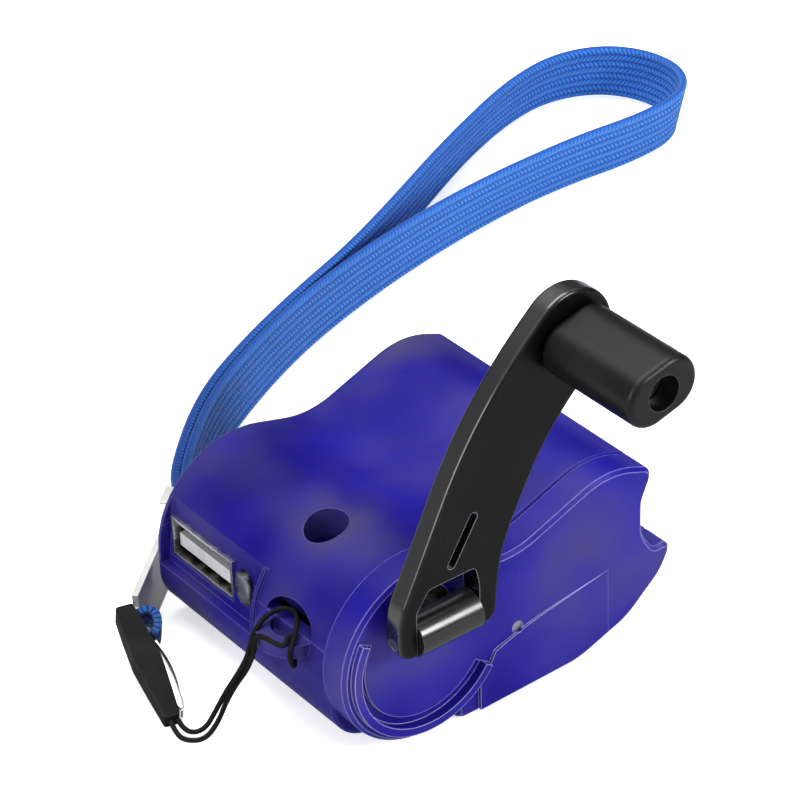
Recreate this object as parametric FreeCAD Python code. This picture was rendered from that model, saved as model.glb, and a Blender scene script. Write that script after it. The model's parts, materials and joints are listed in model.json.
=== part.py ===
"""Hand crank phone charger: a fish-shaped case with a folding crank, its gear train and generator.

Units are millimetres.  +Z is up, +X points to the tail fin, the USB socket looks to -X and the
crank is on the -Y side.  The origin is on the table under the flat foot of the case.
Profiles are drawn in the XZ plane, seen from the crank side, and extruded along Y.
"""
import FreeCAD, Part
import math
import os

os.makedirs("parts", exist_ok=True)

V = FreeCAD.Vector

# ---------------------------------------------------------------- driving dimensions
# case
CASE_BACK = 21.0            # y of the far side wall
COVER_JOIN = -16.2          # y where the crank side cover meets the two shells
COVER_FACE = -20.6          # y of the cover's main face
WALL = 1.6                  # side walls of the shells and the cover
FACE_WALL = 1.5             # front wall of the cover and far wall of the shells
SEAM_Z = 14.0               # height of the seam between upper and lower shell
EDGE_ROUND = 1.0            # rounding of the far edge
JOIN_BEVEL = 0.3            # bevels on both sides of the joint between cover and shells
FACE_BEVEL = 0.5            # bevel round the cover's face
FIT = 0.15                  # gap round a loosely fitted moulded piece

# side profile of the case: corner x, corner z, corner radius, clockwise from the lower rear corner
CASE_CORNERS = [
    (-26.8, 0.9, 6.0), (-26.8, 23.0, 13.0), (-12.0, 23.0, 12.0), (-2.6, 20.5, 12.0),
    (12.6, 26.3, 11.0), (19.9, 23.4, 1.6), (18.0, 19.2, 4.0), (18.0, 14.2, 4.0),
    (19.9, 11.2, 1.4), (23.2, 11.5, 1.1), (21.3, 7.4, 8.0), (15.5, 2.6, 10.0),
    (7.5, 0.0, 12.0), (-10.4, 0.0, 1.5), (-12.0, 0.9, 1.0)]

# round boss of the cover under the crank
BOSS_X, BOSS_Z = -15.9, 13.0
BOSS_R = 12.27
BOSS_WALL = 1.2
LIP_INNER_R = 10.1
LIP_OUTER_R = 11.2
LIP_RISE = 0.8
LIP_START, LIP_END = 150.0, 326.0       # degrees from +X, through the bottom
GROOVE_R = 9.0
GROOVE_DEPTH = 0.5
GROOVE_SHIFT = (-0.2, 0.2)
COVER_CUT_X = -11.5                      # left of this the cover's outline is the boss alone

# raised panel of the tail: the line along its upper edge, its height beside the boss, and where it fades out
FIN_LINE = [(-8.3, 7.4), (-4.7, 8.5), (-1.6, 9.4), (2.5, 10.2), (7.4, 10.9), (12.3, 11.6)]
FIN_RISE = 0.45
FIN_FADE_X = 13.0

# gear train
MODULE = 0.5
PRESSURE = math.radians(20.0)
BACKLASH = 0.10
CRANK_TEETH = 17
IDLER_SMALL = 12
IDLER_LARGE = 34
SECOND_LARGE = 30
ROTOR_TEETH = 8
SECOND_X, SECOND_Z = -2.1, 9.9           # axle of the second idler
FIRST_ANGLE = 169.4                      # direction from the second idler to the first
CRANK_ANGLE = 109.1                      # direction from the first idler to the crank
ROTOR_ANGLE = 11.0                       # direction from the second idler to the rotor
STAGE_ONE_Y = (-19.0, -16.9)             # crank gear and small wheel of the first idler
CLIP_Y = (-16.9, -16.5)                  # snap ring behind the crank gear
CLIP_OUTER_R, CLIP_INNER_R = 2.9, 1.5
SHAFT_END_Y = -16.2
STAGE_TWO_Y = (-15.9, -14.1)             # large wheel of the first idler
STAGE_THREE_Y = (-13.6, -12.0)           # large wheel of the second idler
AXLE_R = 0.75
PLATE_Y = (-11.4, -10.0)
PLATE_EDGE = 2.0                         # plate outline, inwards from the case profile
RUN = 0.03                               # running clearance of a shaft, on the radius

# crank
CRANK_SHAFT_R = 2.0
SHAFT_FLAT = 0.5                         # depth of the drive flat
BUSH_R = 3.5
BARREL_R = 2.6
BARREL_LENGTH = 9.0
BARREL_LIFT = 0.25                       # gap between the barrel and the cover's face
EAR_WIDTH = 2.45
EAR_GAP = 0.15
EAR_END = 2.1                            # ears below the hinge axis
ARM_THICK = 3.0
ARM_ROUND = 0.5                          # rounded edges of the arm's outline
EAR_ROUND = 1.9
HINGE_PIN_R = 0.8
PIN_SINK = 0.15                          # ends of the hinge pin below the ears
KNOB_OUT_X, KNOB_OUT_Z = 19.0, 32.3      # knob axis from the hinge centre
ARM_TIP_R = 6.0
TIP_ANGLE = 41.0                         # direction of the arm at its tip
WINDOW_TOP = 6.7                         # window above the barrel
SLIT_START, SLIT_END = (0.7, 8.7), (4.0, 13.9)
SLIT_R = 0.6
KNOB_GAP = 0.3
KNOB_LENGTH = 15.5
KNOB_LONG, KNOB_SHORT = 10.2, 7.2
KNOB_TILT = 15.0                         # long side of the knob above +X
KNOB_ROUND = 0.8
KNOB_PIN_R = 1.2
KNOB_HEAD_R = 2.1
KNOB_HEAD_H = 1.1
KNOB_WELL = 4.0                          # depth of the screw head's well in the knob's end

# generator
CAN_R = 9.0
CAN_WALL = 0.5
CAN_END = 0.8                            # end wall of the can
CAN_VENT_R, CAN_VENT_OUT = 1.3, 5.2      # vents in it, and how far they lie from the shaft
CAN_Y = (-10.0, 4.0)
CORE_Y = (-7.4, 1.6)
CORE_INNER_R = 7.4
POLE_TIP_R = 5.1
POLES = 6
MAGNET_R = 4.7
ROTOR_SHAFT_R = 0.75

# board and socket
BOARD_X = (-22.6, -4.0)
BOARD_Y = (3.2, 19.2)
BOARD_THICK = 1.2
STANDOFFS = [(-19.6, 6.4), (-19.6, 16.6), (-8.2, 6.4), (-8.2, 16.6)]
STANDOFF_R = 1.3
PANEL_TOP = (-24.3, 17.6)                # x, z of the sunk panel's upper edge
PANEL_LOW = (-25.4, 8.5)                 # x, z of its lower edge
PANEL_Y = (0.0, 19.9)
PANEL_BACK = -22.8
RIB_RISE, RIB_THICK = 0.35, 0.6          # upright rib beside the panel
RIB_Z = (8.2, 17.8)
USB_Y, USB_Z = 12.8, 12.5
USB_WIDE, USB_HIGH = 13.1, 5.7
USB_SKIN = 0.35
USB_DEEP = 14.0
USB_FRONT = -25.2                        # x of the socket's mouth
USB_BLOCK = 5.0                          # insulating block at the back of the socket
TONGUE_LOW, TONGUE_THICK, TONGUE_WIDE = 11.2, 1.9, 11.2
TONGUE_SINK = 0.6                        # front of the tongue behind the socket's mouth
CONTACT_WIDE, CONTACT_THICK = 1.7, 0.15
CONTACT_OFFSETS = (-4.2, -1.4, 1.4, 4.2)
LED_Y, LED_Z = 3.9, 12.7
LED_WIDE, LED_HIGH = 3.0, 4.8
LED_FRONT, LED_BACK = -25.3, -20.4
DIODE, DIODE_X, DIODE_Y = (2.3, 2.2, 1.4), -10.9, (4.4, 8.0, 11.6, 15.2)
CHIP, CHIP_CORNER = (5.0, 2.3, 1.6), (-19.0, 3.6)
CAN_PART_R = 1.8                         # radius of the capacitor and the inductor
CAPACITOR_AT, CAPACITOR_HIGH = (-6.0, 16.6), 6.0
INDUCTOR_AT, INDUCTOR_HIGH = (-6.0, 5.6), 2.4

# screws
SCREW_R = 1.0
SCREW_HEAD_R = 1.8
LONG_SCREWS = [(-22.2, 4.6), (18.2, 8.6), (15.2, 21.8)]
LONG_HEAD_SINK = 2.4                     # depth of the long screws' heads below the far side
LONG_TIP_COVER = 0.8                     # cover left in front of the long screws' tips
POST_R = 1.9
WELL_X, WELL_Y, WELL_R = -17.2, -3.1, 2.8
WELL_FLOOR = 17.4
FOOT_SCREW_X, FOOT_SCREW_Y = 8.0, 13.5

# lanyard eye
EYE_Y, EYE_Z = -7.0, 13.0
EYE_HALF, EYE_REACH = 4.5, 4.2
EYE_BAR, EYE_THICK = 1.9, 1.7
POCKET_HALF, POCKET_HIGH, POCKET_DEEP_X = 4.5, 2.8, -23.6

# strap, in plan from the case's far side, and its fittings
STRAP_WIDE, STRAP_THICK = 10.0, 1.1
STRAP_LOW = 0.2
STRAP_ROUTE = [(x, CASE_BACK + y) for x, y in (
    (-18.6, 6.4), (-16.0, 8.65), (-13.6, 13.1), (-2.0, 24.3), (10.0, 31.6), (23.0, 37.9), (37.0, 42.6), (52.0, 46.2),
    (67.0, 48.5), (82.0, 49.3), (94.5, 48.2), (104.4, 49.4), (109.6, 55.2), (109.6, 63.0), (105.4, 69.4),
    (97.4, 72.2), (87.6, 70.4), (76.0, 65.6), (63.0, 59.0), (50.0, 51.8), (37.0, 45.1), (23.0, 39.3),
    (10.0, 33.1), (-2.5, 25.7), (-14.6, 13.9), (-17.0, 9.45), (-19.4, 7.35))]
CRIMP_NEAR = (-17.3, CASE_BACK + 8.35)
CRIMP_ALONG = (-0.75, -0.66)            # direction of the crimp in plan
CRIMP_INSIDE = 2.5                       # slot of the crimp for both ends of the strap
CRIMP_SKIN = 0.5
CRIMP_HIGH = STRAP_LOW + STRAP_WIDE + 0.2 + CRIMP_SKIN
CAP_LONG = 3.6                           # part of the crimp that closes over the strap
PLATE_START, PLATE_END = 5.6, 20.2       # flat plate of the crimp, along it
PLATE_THICK, PLATE_HIGH = 0.8, 8.3
PLATE_SIDE = -0.4                        # face of the plate that looks to the case
HOOK_END = 22.4                          # the plate's hook, which reaches into the clip
HOOK_Z = (5.0, 6.5)
CLIP_NEAR = (-34.5, CASE_BACK - 3.8, 6.15)    # centre of the clip's end that holds the hook
CLIP_FAR = (-38.7, 0.8, 1.25)            # centre of its cord end
CLIP_HALVES = [(0, 1.15), (4.0, 1.5), (8.5, 1.75), (13.0, 1.4), (16.2, 1.1)]    # along it, half its width
CLIP_THICK, CLIP_END_THICK = 2.6, 1.9
CLIP_END_HALF = 1.0
CLIP_ROUND = 0.4
LEAF_BOW = [(6.0, 1.85), (13.0, 2.35), (17.2, 1.2)]
LEAF_THICK, LEAF_HALF = 0.3, 0.7
CORD_R = 0.4
CORD_GAP = 0.08                          # between the clip's end and the first faces of the cord
CORD_ROUTE = [
    (-38.2, 0.4, 1.25), (-38.8, -1.9, 0.9), (-36.6, -3.0, 0.9), (-34.2, -2.6, 4.4), (-32.4, -3.8, 8.0),
    (-31.3, -5.4, 11.8),
    (-30.9, -6.6, 14.6), (-29.0, -7.2, 15.7), (-27.5, -7.6, 14.4), (-27.5, -7.9, 12.0), (-28.8, -7.4, 10.3),
    (-30.8, -6.4, 8.6), (-33.0, -4.9, 5.0),
    (-35.3, -4.4, 1.3), (-38.0, -5.1, 0.8), (-40.2, -3.4, 0.8), (-39.9, -1.2, 1.1), (-39.45, 0.7, 1.25)]

# ---------------------------------------------------------------- helpers
def save(name, shape):
    """Write one sub-part as parts/NAME.step."""
    shape.exportStep("parts/%s.step" % name)


def box(x0, x1, y0, y1, z0, z1):
    """Box between two opposite corners."""
    return Part.makeBox(x1 - x0, y1 - y0, z1 - z0, V(x0, y0, z0))


def rod_y(x, z, radius, y0, y1):
    """Round bar along Y."""
    return Part.makeCylinder(radius, y1 - y0, V(x, y0, z), V(0, 1, 0))


def rod_z(x, y, radius, z0, z1):
    """Round bar along Z."""
    return Part.makeCylinder(radius, z1 - z0, V(x, y, z0), V(0, 0, 1))


def tube_y(x, z, outer, inner, y0, y1):
    """Tube along Y."""
    return rod_y(x, z, outer, y0, y1).cut(rod_y(x, z, inner, y0, y1))


def rounded_wire(corners, place):
    """Closed wire through corners (u, v, radius), each corner an arc; place maps (u, v) to space."""
    edges = []
    count = len(corners)
    joints = []
    for i in range(count):
        u, v, radius = corners[i]
        back = (corners[i - 1][0] - u, corners[i - 1][1] - v)
        ahead = (corners[(i + 1) % count][0] - u, corners[(i + 1) % count][1] - v)
        lb, la = math.hypot(*back), math.hypot(*ahead)
        back, ahead = (back[0] / lb, back[1] / lb), (ahead[0] / la, ahead[1] / la)
        inside = math.acos(max(-1.0, min(1.0, back[0] * ahead[0] + back[1] * ahead[1])))
        reach = radius / math.tan(inside / 2)
        middle = (back[0] + ahead[0], back[1] + ahead[1])
        lm = math.hypot(*middle)
        sink = radius / math.sin(inside / 2) - radius
        joints.append(((u + back[0] * reach, v + back[1] * reach),
                       (u + middle[0] / lm * sink, v + middle[1] / lm * sink),
                       (u + ahead[0] * reach, v + ahead[1] * reach)))
    for i in range(count):
        first, mid, last = (place(*p) for p in joints[i])
        edges.append(Part.Arc(first, mid, last).toShape())
        following = place(*joints[(i + 1) % count][0])
        if last.distanceToPoint(following) > 1e-6:
            edges.append(Part.LineSegment(last, following).toShape())
    return Part.Wire(edges)


def slab(wire, y0, y1):
    """Extrude a closed wire drawn at y = 0 from y0 to y1."""
    face = Part.Face(wire)
    face.translate(V(0, y0, 0))
    return face.extrude(V(0, y1 - y0, 0))


def in_profile(u, v):
    return V(u, 0, v)


def case_slab(inset, y0, y1):
    """Case profile, moved inwards by inset, as a solid from y0 to y1."""
    wire = rounded_wire(CASE_CORNERS, in_profile)
    if inset:
        wire = wire.makeOffset2D(-inset)
    return slab(wire, y0, y1)


def end_edges(shape, y):
    """Edges of a solid that lie in the plane at y."""
    return [e for e in shape.Edges if abs(e.BoundBox.YMin - y) < 1e-6 and e.BoundBox.YLength < 1e-6]


def pair_centre(x, z, teeth_a, teeth_b, degrees):
    """Centre of the wheel that meshes with the one at (x, z), in the given direction."""
    distance = MODULE * (teeth_a + teeth_b) / 2
    angle = math.radians(degrees)
    return x + distance * math.cos(angle), z + distance * math.sin(angle)


def mesh_phase(phase, teeth, other_teeth, degrees):
    """Phase of a wheel that meshes with one of the given phase, lying in the given direction."""
    line = math.radians(degrees)
    return line + math.pi + math.pi / other_teeth - (phase - line) * teeth / other_teeth


def gear_wire(x, z, teeth, phase):
    """Involute gear outline."""
    pitch_r = MODULE * teeth / 2
    tip_r = pitch_r + 0.95 * MODULE
    root_r = pitch_r - 1.2 * MODULE
    base_r = pitch_r * math.cos(PRESSURE)
    involute = math.tan(PRESSURE) - PRESSURE
    half = math.pi / (2 * teeth) - BACKLASH / (2 * pitch_r)

    def flank(radius):
        if radius <= base_r:
            return half + involute
        opening = math.acos(base_r / radius)
        return half + involute - (math.tan(opening) - opening)

    radii = [root_r, pitch_r, tip_r]
    points = []
    for tooth in range(teeth):
        centre = phase + 2 * math.pi * tooth / teeth
        rising = [(r, centre - flank(r)) for r in radii]
        falling = [(r, centre + flank(r)) for r in reversed(radii)]
        points += [V(x + r * math.cos(a), 0, z + r * math.sin(a)) for r, a in rising + falling]
    return Part.makePolygon(points + [points[0]])


def gear(x, z, teeth, phase, span):
    return slab(gear_wire(x, z, teeth, phase), span[0], span[1])


def pan_screw(base, axis, shank, head_r=SCREW_HEAD_R, head_h=1.0, shank_r=SCREW_R):
    """Screw whose head sits at base, with its shank running along axis; cross recess in the head."""
    axis = V(axis)
    axis.normalize()
    head = Part.makeCylinder(head_r, head_h, base - axis * head_h, axis)
    body = Part.makeCylinder(shank_r, shank, base, axis)
    side = V(0, 0, 1) if abs(axis.z) < 0.5 else V(1, 0, 0)
    slot = head_r * 1.1
    tool = None
    for turn in (0, 90):
        bar = Part.makeBox(slot, 0.35, 0.6, V(-slot / 2, -0.175, 0))
        bar.rotate(V(0, 0, 0), V(0, 0, 1), turn)
        tool = bar if tool is None else tool.fuse(bar)
    tool.Placement = FreeCAD.Placement(base - axis * head_h, FreeCAD.Rotation(V(0, 0, 1), axis))
    return head.fuse(body).cut(tool)


def route_path(points):
    """Wire of straight runs joined by tangent arcs, the radii of the arcs, and its length."""
    edges, radii = [], []
    cursor = points[0]
    for before, here, after in zip(points, points[1:], points[2:]):
        back, ahead = before - here, after - here
        shorter = min(back.Length, ahead.Length)
        back.normalize()
        ahead.normalize()
        turn = math.pi - back.getAngle(ahead)
        reach = 0.45 * shorter
        radius = reach / math.tan(turn / 2)
        radii.append(radius)
        start, end = here + back * reach, here + ahead * reach
        middle = back + ahead
        middle.normalize()
        mid = here + middle * (radius / math.cos(turn / 2) - radius)
        edges.append(Part.LineSegment(cursor, start).toShape())
        edges.append(Part.Arc(start, mid, end).toShape())
        cursor = end
    edges.append(Part.LineSegment(cursor, points[-1]).toShape())
    return Part.Wire(edges), radii, sum(e.Length for e in edges)


FIRST_X, FIRST_Z = pair_centre(SECOND_X, SECOND_Z, IDLER_SMALL, IDLER_LARGE, FIRST_ANGLE)
CRANK_X, CRANK_Z = pair_centre(FIRST_X, FIRST_Z, CRANK_TEETH, IDLER_SMALL, CRANK_ANGLE)
ROTOR_X, ROTOR_Z = pair_centre(SECOND_X, SECOND_Z, SECOND_LARGE, ROTOR_TEETH, ROTOR_ANGLE)


BOARD_TOP = USB_Z - USB_HIGH / 2
BOARD_LOW = BOARD_TOP - BOARD_THICK


# ---------------------------------------------------------------- case
def panel_cutter():
    """Wedge that sinks the flat socket panel into the round rear end."""
    top, low = PANEL_TOP, PANEL_LOW
    slope = (top[0] - low[0]) / (top[1] - low[1])
    high = top[1] + 4.0
    outline = [(low[0], low[1]), (low[0] + slope * (high - low[1]), high), (-40.0, high), (-40.0, low[1])]
    wire = Part.makePolygon([V(x, 0, z) for x, z in outline + [outline[0]]])
    return slab(wire, PANEL_Y[0], PANEL_Y[1])


def oval_x(y, z, wide, high, x0, x1):
    """Upright oval bar along X."""
    r = wide / 2
    straight = (high - wide) / 2
    shape = box(x0, x1, y - r, y + r, z - straight, z + straight)
    for end in (-straight, straight):
        shape = shape.fuse(Part.makeCylinder(r, x1 - x0, V(x0, y, z + end), V(1, 0, 0)))
    return shape


def shell_body():
    """Both shells in one piece, before the cut at the seam."""
    outer = case_slab(0, COVER_JOIN, CASE_BACK)
    outer = outer.makeFillet(EDGE_ROUND, end_edges(outer, CASE_BACK))
    outer = outer.makeChamfer(JOIN_BEVEL, end_edges(outer, COVER_JOIN))
    body = outer.cut(case_slab(WALL, COVER_JOIN - 1, CASE_BACK - FACE_WALL))
    pads = [box(-30, PANEL_BACK, PANEL_Y[0] - 1.2, CASE_BACK - 0.5, 6.6, 20.0),
            box(-30, POCKET_DEEP_X + 1.4, EYE_Y - POCKET_HALF - 1.2, EYE_Y + POCKET_HALF + 1.2, SEAM_Z, 18.4)]
    for pad in pads:
        body = body.fuse(outer.common(pad))
    for x, z in LONG_SCREWS:
        body = body.fuse(rod_y(x, z, POST_R, PLATE_Y[1], CASE_BACK - 0.2).common(outer))
    for x, y in STANDOFFS:
        body = body.fuse(rod_z(x, y, STANDOFF_R, 0.5, BOARD_LOW).common(outer))
    body = body.fuse(rod_z(WELL_X, WELL_Y, WELL_R + 1.2, SEAM_Z, 30).common(outer))
    body = body.fuse(rod_z(WELL_X, WELL_Y, 2.4, 0.5, SEAM_Z).common(outer))
    body = body.fuse(rod_z(FOOT_SCREW_X, FOOT_SCREW_Y, 3.3, 0, 30).common(outer))
    for x, z in LONG_SCREWS:
        body = body.cut(rod_y(x, z, SCREW_R + FIT, COVER_JOIN, CASE_BACK + 1))
        body = body.cut(rod_y(x, z, SCREW_HEAD_R + FIT, CASE_BACK - LONG_HEAD_SINK, CASE_BACK + 1))
    rib = case_slab(-RIB_RISE, PANEL_Y[0] - RIB_THICK, PANEL_Y[0]).cut(
        case_slab(0.5, PANEL_Y[0] - RIB_THICK, PANEL_Y[0]))
    body = body.fuse(rib.common(box(-40, WELL_X, -30, 30, *RIB_Z)))
    body = body.cut(panel_cutter())
    gap = 0.1
    body = body.cut(box(-30, PANEL_BACK + 0.1, USB_Y - USB_WIDE / 2 - gap, USB_Y + USB_WIDE / 2 + gap,
                        USB_Z - USB_HIGH / 2 - gap, USB_Z + USB_HIGH / 2 + gap))
    body = body.cut(oval_x(LED_Y, LED_Z, LED_WIDE + 2 * gap, LED_HIGH + 2 * gap, -30, PANEL_BACK + 0.1))
    return body


def upper_shell(body):
    shell = body.common(box(-40, 40, -30, 30, SEAM_Z, 40))
    arch = Part.Ellipse(V(0, 0, 0), POCKET_HALF, POCKET_HIGH)
    face = Part.Face(Part.Wire(arch.toShape()))
    across_x = FreeCAD.Rotation(V(0, 1, 0), V(0, 0, 1), V(1, 0, 0), "XYZ")
    face.Placement = FreeCAD.Placement(V(-40, EYE_Y, SEAM_Z), across_x)
    shell = shell.cut(face.extrude(V(40 + POCKET_DEEP_X, 0, 0)))
    shell = shell.cut(rod_z(WELL_X, WELL_Y, WELL_R, WELL_FLOOR, 30))
    shell = shell.cut(rod_z(WELL_X, WELL_Y, SCREW_R + FIT, SEAM_Z - 1, 30))
    return shell.cut(rod_z(FOOT_SCREW_X, FOOT_SCREW_Y, SCREW_R, SEAM_Z - 1, SEAM_Z + 5))


def lanyard_eye():
    """Flat half ring that stands out of the rear end under the arched pocket."""
    low, high = EYE_Z - EYE_THICK / 2, EYE_Z + EYE_THICK / 2
    root = -26.0

    def half_ring(half, reach):
        curve = Part.Ellipse(V(0, 0, 0), max(half, reach), min(half, reach)).toShape()
        face = Part.Face(Part.Wire(curve))
        if half > reach:
            face.rotate(V(0, 0, 0), V(0, 0, 1), 90)
        face.translate(V(root, EYE_Y, low))
        return face.extrude(V(0, 0, high - low))

    ring = half_ring(EYE_HALF, EYE_REACH).cut(half_ring(EYE_HALF - EYE_BAR, EYE_REACH - EYE_BAR))
    return ring.common(box(root - 10, root + 0.8, -30, 30, 0, 30))


def lower_shell(body):
    shell = body.common(box(-40, 40, -30, 30, -5, SEAM_Z))
    shell = shell.cut(rod_z(WELL_X, WELL_Y, SCREW_R, SEAM_Z - 6, SEAM_Z + 1))
    shell = shell.cut(rod_z(FOOT_SCREW_X, FOOT_SCREW_Y, SCREW_R + FIT, -1, SEAM_Z + 1))
    shell = shell.cut(rod_z(FOOT_SCREW_X, FOOT_SCREW_Y, 2.3, -1, 3.0))
    return shell.fuse(lanyard_eye())


def cover_outline(inset, boss_inset, y0, y1):
    """Outline of the crank side cover: the round boss and the case profile right of it."""
    tail = case_slab(inset, y0, y1).common(box(COVER_CUT_X + inset, 40, y0, y1, -5, 40))
    return tail.fuse(rod_y(BOSS_X, BOSS_Z, BOSS_R - boss_inset, y0, y1)).removeSplitter()


def boss_sector(y0, y1):
    """Part of the boss's disc between the ends of the lip, drawn well past its rim."""
    reach, steps = 2 * BOSS_R, 8
    points = [V(BOSS_X, 0, BOSS_Z)]
    for i in range(steps + 1):
        angle = math.radians(LIP_START + (LIP_END - LIP_START) * i / steps)
        points.append(V(BOSS_X + reach * math.cos(angle), 0, BOSS_Z + reach * math.sin(angle)))
    return slab(Part.makePolygon(points + [points[0]]), y0, y1)


def lip():
    """C-shaped rim round the lower part of the boss."""
    top = COVER_FACE - LIP_RISE
    return tube_y(BOSS_X, BOSS_Z, LIP_OUTER_R, LIP_INNER_R, top, COVER_FACE).common(boss_sector(top, COVER_FACE))


def lip_groove():
    """Sunk line inside the lip, wider at its lower end because its inner circle is off centre."""
    span = (COVER_FACE, COVER_FACE + GROOVE_DEPTH)
    island = rod_y(BOSS_X + GROOVE_SHIFT[0], BOSS_Z + GROOVE_SHIFT[1], GROOVE_R, *span)
    return rod_y(BOSS_X, BOSS_Z, LIP_INNER_R, *span).cut(island).common(boss_sector(*span))


def fin_panel():
    """Raised panel of the tail: highest beside the boss, and level with the cover at its far end."""
    line = Part.BSplineCurve()
    line.interpolate([V(x, 0, z) for x, z in FIN_LINE])
    first, last = FIN_LINE[0], FIN_LINE[-1]
    corners = [V(last[0], 0, last[1]), V(last[0], 0, -1), V(first[0], 0, -1), V(first[0], 0, first[1])]
    sides = [Part.LineSegment(a, b).toShape() for a, b in zip(corners, corners[1:])]
    top, root = COVER_FACE - FIN_RISE, COVER_FACE + 0.3
    panel = slab(Part.Wire([line.toShape()] + sides), top, root).common(case_slab(FACE_BEVEL, top, root))
    ramp = Part.makePolygon([V(first[0], top, -5), V(first[0], top - 1, -5), V(FIN_FADE_X, top - 1, -5),
                             V(FIN_FADE_X, COVER_FACE, -5), V(first[0], top, -5)])
    panel = panel.cut(Part.Face(ramp).extrude(V(0, 0, 40)))
    return panel.cut(rod_y(BOSS_X, BOSS_Z, LIP_OUTER_R, top - 1, root + 1))


def crank_side_cover():
    inner_face = COVER_FACE + FACE_WALL
    cover = cover_outline(0, 0, COVER_FACE, COVER_JOIN)
    cover = cover.makeChamfer(FACE_BEVEL, end_edges(cover, COVER_FACE))
    cover = cover.makeChamfer(JOIN_BEVEL, end_edges(cover, COVER_JOIN))
    cover = cover.cut(cover_outline(WALL, BOSS_WALL, inner_face, COVER_JOIN + 1))
    cover = cover.fuse(lip()).fuse(fin_panel()).cut(lip_groove())
    for x, z in LONG_SCREWS:
        post = rod_y(x, z, POST_R, inner_face - 0.1, PLATE_Y[0])
        inside = case_slab(WALL + FIT, COVER_JOIN, PLATE_Y[0]).fuse(
            cover_outline(0.5, 0.5, inner_face - 0.1, COVER_JOIN))
        cover = cover.fuse(post.common(inside)).cut(
            rod_y(x, z, SCREW_R, COVER_FACE + LONG_TIP_COVER, PLATE_Y[0] + 1))
    cover = cover.fuse(rod_y(FIRST_X, FIRST_Z, 1.9, inner_face - 0.1, STAGE_ONE_Y[0] - 0.1))
    cover = cover.cut(rod_y(FIRST_X, FIRST_Z, AXLE_R, COVER_FACE + 0.6, COVER_JOIN))
    cover = cover.fuse(rod_y(SECOND_X, SECOND_Z, 1.9, inner_face - 0.1, -16.4))
    cover = cover.cut(rod_y(SECOND_X, SECOND_Z, AXLE_R, COVER_FACE - 1, COVER_JOIN))
    return cover.cut(rod_y(CRANK_X, CRANK_Z, BUSH_R, COVER_FACE - 1, inner_face + 1))


def gear_plate():
    plate = case_slab(PLATE_EDGE, PLATE_Y[0], PLATE_Y[1])
    plate = plate.cut(box(-30, -21.6, PLATE_Y[0] - 1, PLATE_Y[1] + 1, 11.0, 25.0))
    for x, z in LONG_SCREWS:
        plate = plate.cut(rod_y(x, z, SCREW_R + FIT, PLATE_Y[0] - 1, PLATE_Y[1] + 1))
    for x, z in ((FIRST_X, FIRST_Z), (SECOND_X, SECOND_Z)):
        plate = plate.cut(rod_y(x, z, AXLE_R, PLATE_Y[0] - 1, PLATE_Y[1] + 1))
    return plate.cut(rod_y(ROTOR_X, ROTOR_Z, 2.0, PLATE_Y[0] - 1, PLATE_Y[1] + 1))


LONG_SHANK = CASE_BACK - LONG_HEAD_SINK - (COVER_FACE + LONG_TIP_COVER + 0.2)
shells = shell_body()
save("upper_shell", upper_shell(shells))
save("lower_shell", lower_shell(shells))
save("crank_side_cover", crank_side_cover())
save("gear_plate", gear_plate())
save("crank_bush", tube_y(CRANK_X, CRANK_Z, BUSH_R, CRANK_SHAFT_R + RUN, COVER_FACE, COVER_FACE + FACE_WALL))
save("cover_screws", Part.makeCompound(
    [pan_screw(V(x, CASE_BACK - LONG_HEAD_SINK, z), V(0, -1, 0), LONG_SHANK) for x, z in LONG_SCREWS]))
save("case_screws", Part.makeCompound([
    pan_screw(V(WELL_X, WELL_Y, WELL_FLOOR), V(0, 0, -1), 8.0),
    pan_screw(V(FOOT_SCREW_X, FOOT_SCREW_Y, 3.0), V(0, 0, 1), 14.0)]))

# ---------------------------------------------------------------- gear train
crank_phase = math.radians(CRANK_ANGLE)
first_small_phase = mesh_phase(crank_phase, CRANK_TEETH, IDLER_SMALL, CRANK_ANGLE + 180)
first_large_phase = first_small_phase
second_small_phase = mesh_phase(first_large_phase, IDLER_LARGE, IDLER_SMALL, FIRST_ANGLE + 180)
second_large_phase = second_small_phase
rotor_phase = mesh_phase(second_large_phase, SECOND_LARGE, ROTOR_TEETH, ROTOR_ANGLE)


def compound_gear(x, z, small, small_span, large, large_span, phase):
    """Small wheel and large wheel moulded in one piece, with a bore that runs on the axle."""
    wheels = gear(x, z, small, phase, small_span).fuse(gear(x, z, large, phase, large_span))
    spans = [small_span, large_span]
    low, high = min(s[0] for s in spans), max(s[1] for s in spans)
    hub = rod_y(x, z, 1.35, low, high)
    return wheels.fuse(hub).cut(rod_y(x, z, AXLE_R + RUN, low - 1, high + 1))


crank_gear = gear(CRANK_X, CRANK_Z, CRANK_TEETH, crank_phase, STAGE_ONE_Y)
flat = box(CRANK_X - 5, CRANK_X + 5, STAGE_ONE_Y[0] - 1, STAGE_ONE_Y[1] + 1,
           CRANK_Z + CRANK_SHAFT_R - SHAFT_FLAT, CRANK_Z + 5)
drive_bore = rod_y(CRANK_X, CRANK_Z, CRANK_SHAFT_R, STAGE_ONE_Y[0] - 1, STAGE_ONE_Y[1] + 1).cut(flat)
save("crank_gear", crank_gear.cut(drive_bore))
save("crank_clip", tube_y(CRANK_X, CRANK_Z, CLIP_OUTER_R, CLIP_INNER_R, *CLIP_Y))
save("first_idler", compound_gear(FIRST_X, FIRST_Z, IDLER_SMALL, (STAGE_ONE_Y[0], STAGE_TWO_Y[0]),
                                  IDLER_LARGE, STAGE_TWO_Y, first_small_phase))
save("second_idler", compound_gear(SECOND_X, SECOND_Z, IDLER_SMALL, (STAGE_TWO_Y[0] - 0.2, STAGE_THREE_Y[0]),
                                   SECOND_LARGE, STAGE_THREE_Y, second_small_phase))
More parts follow.
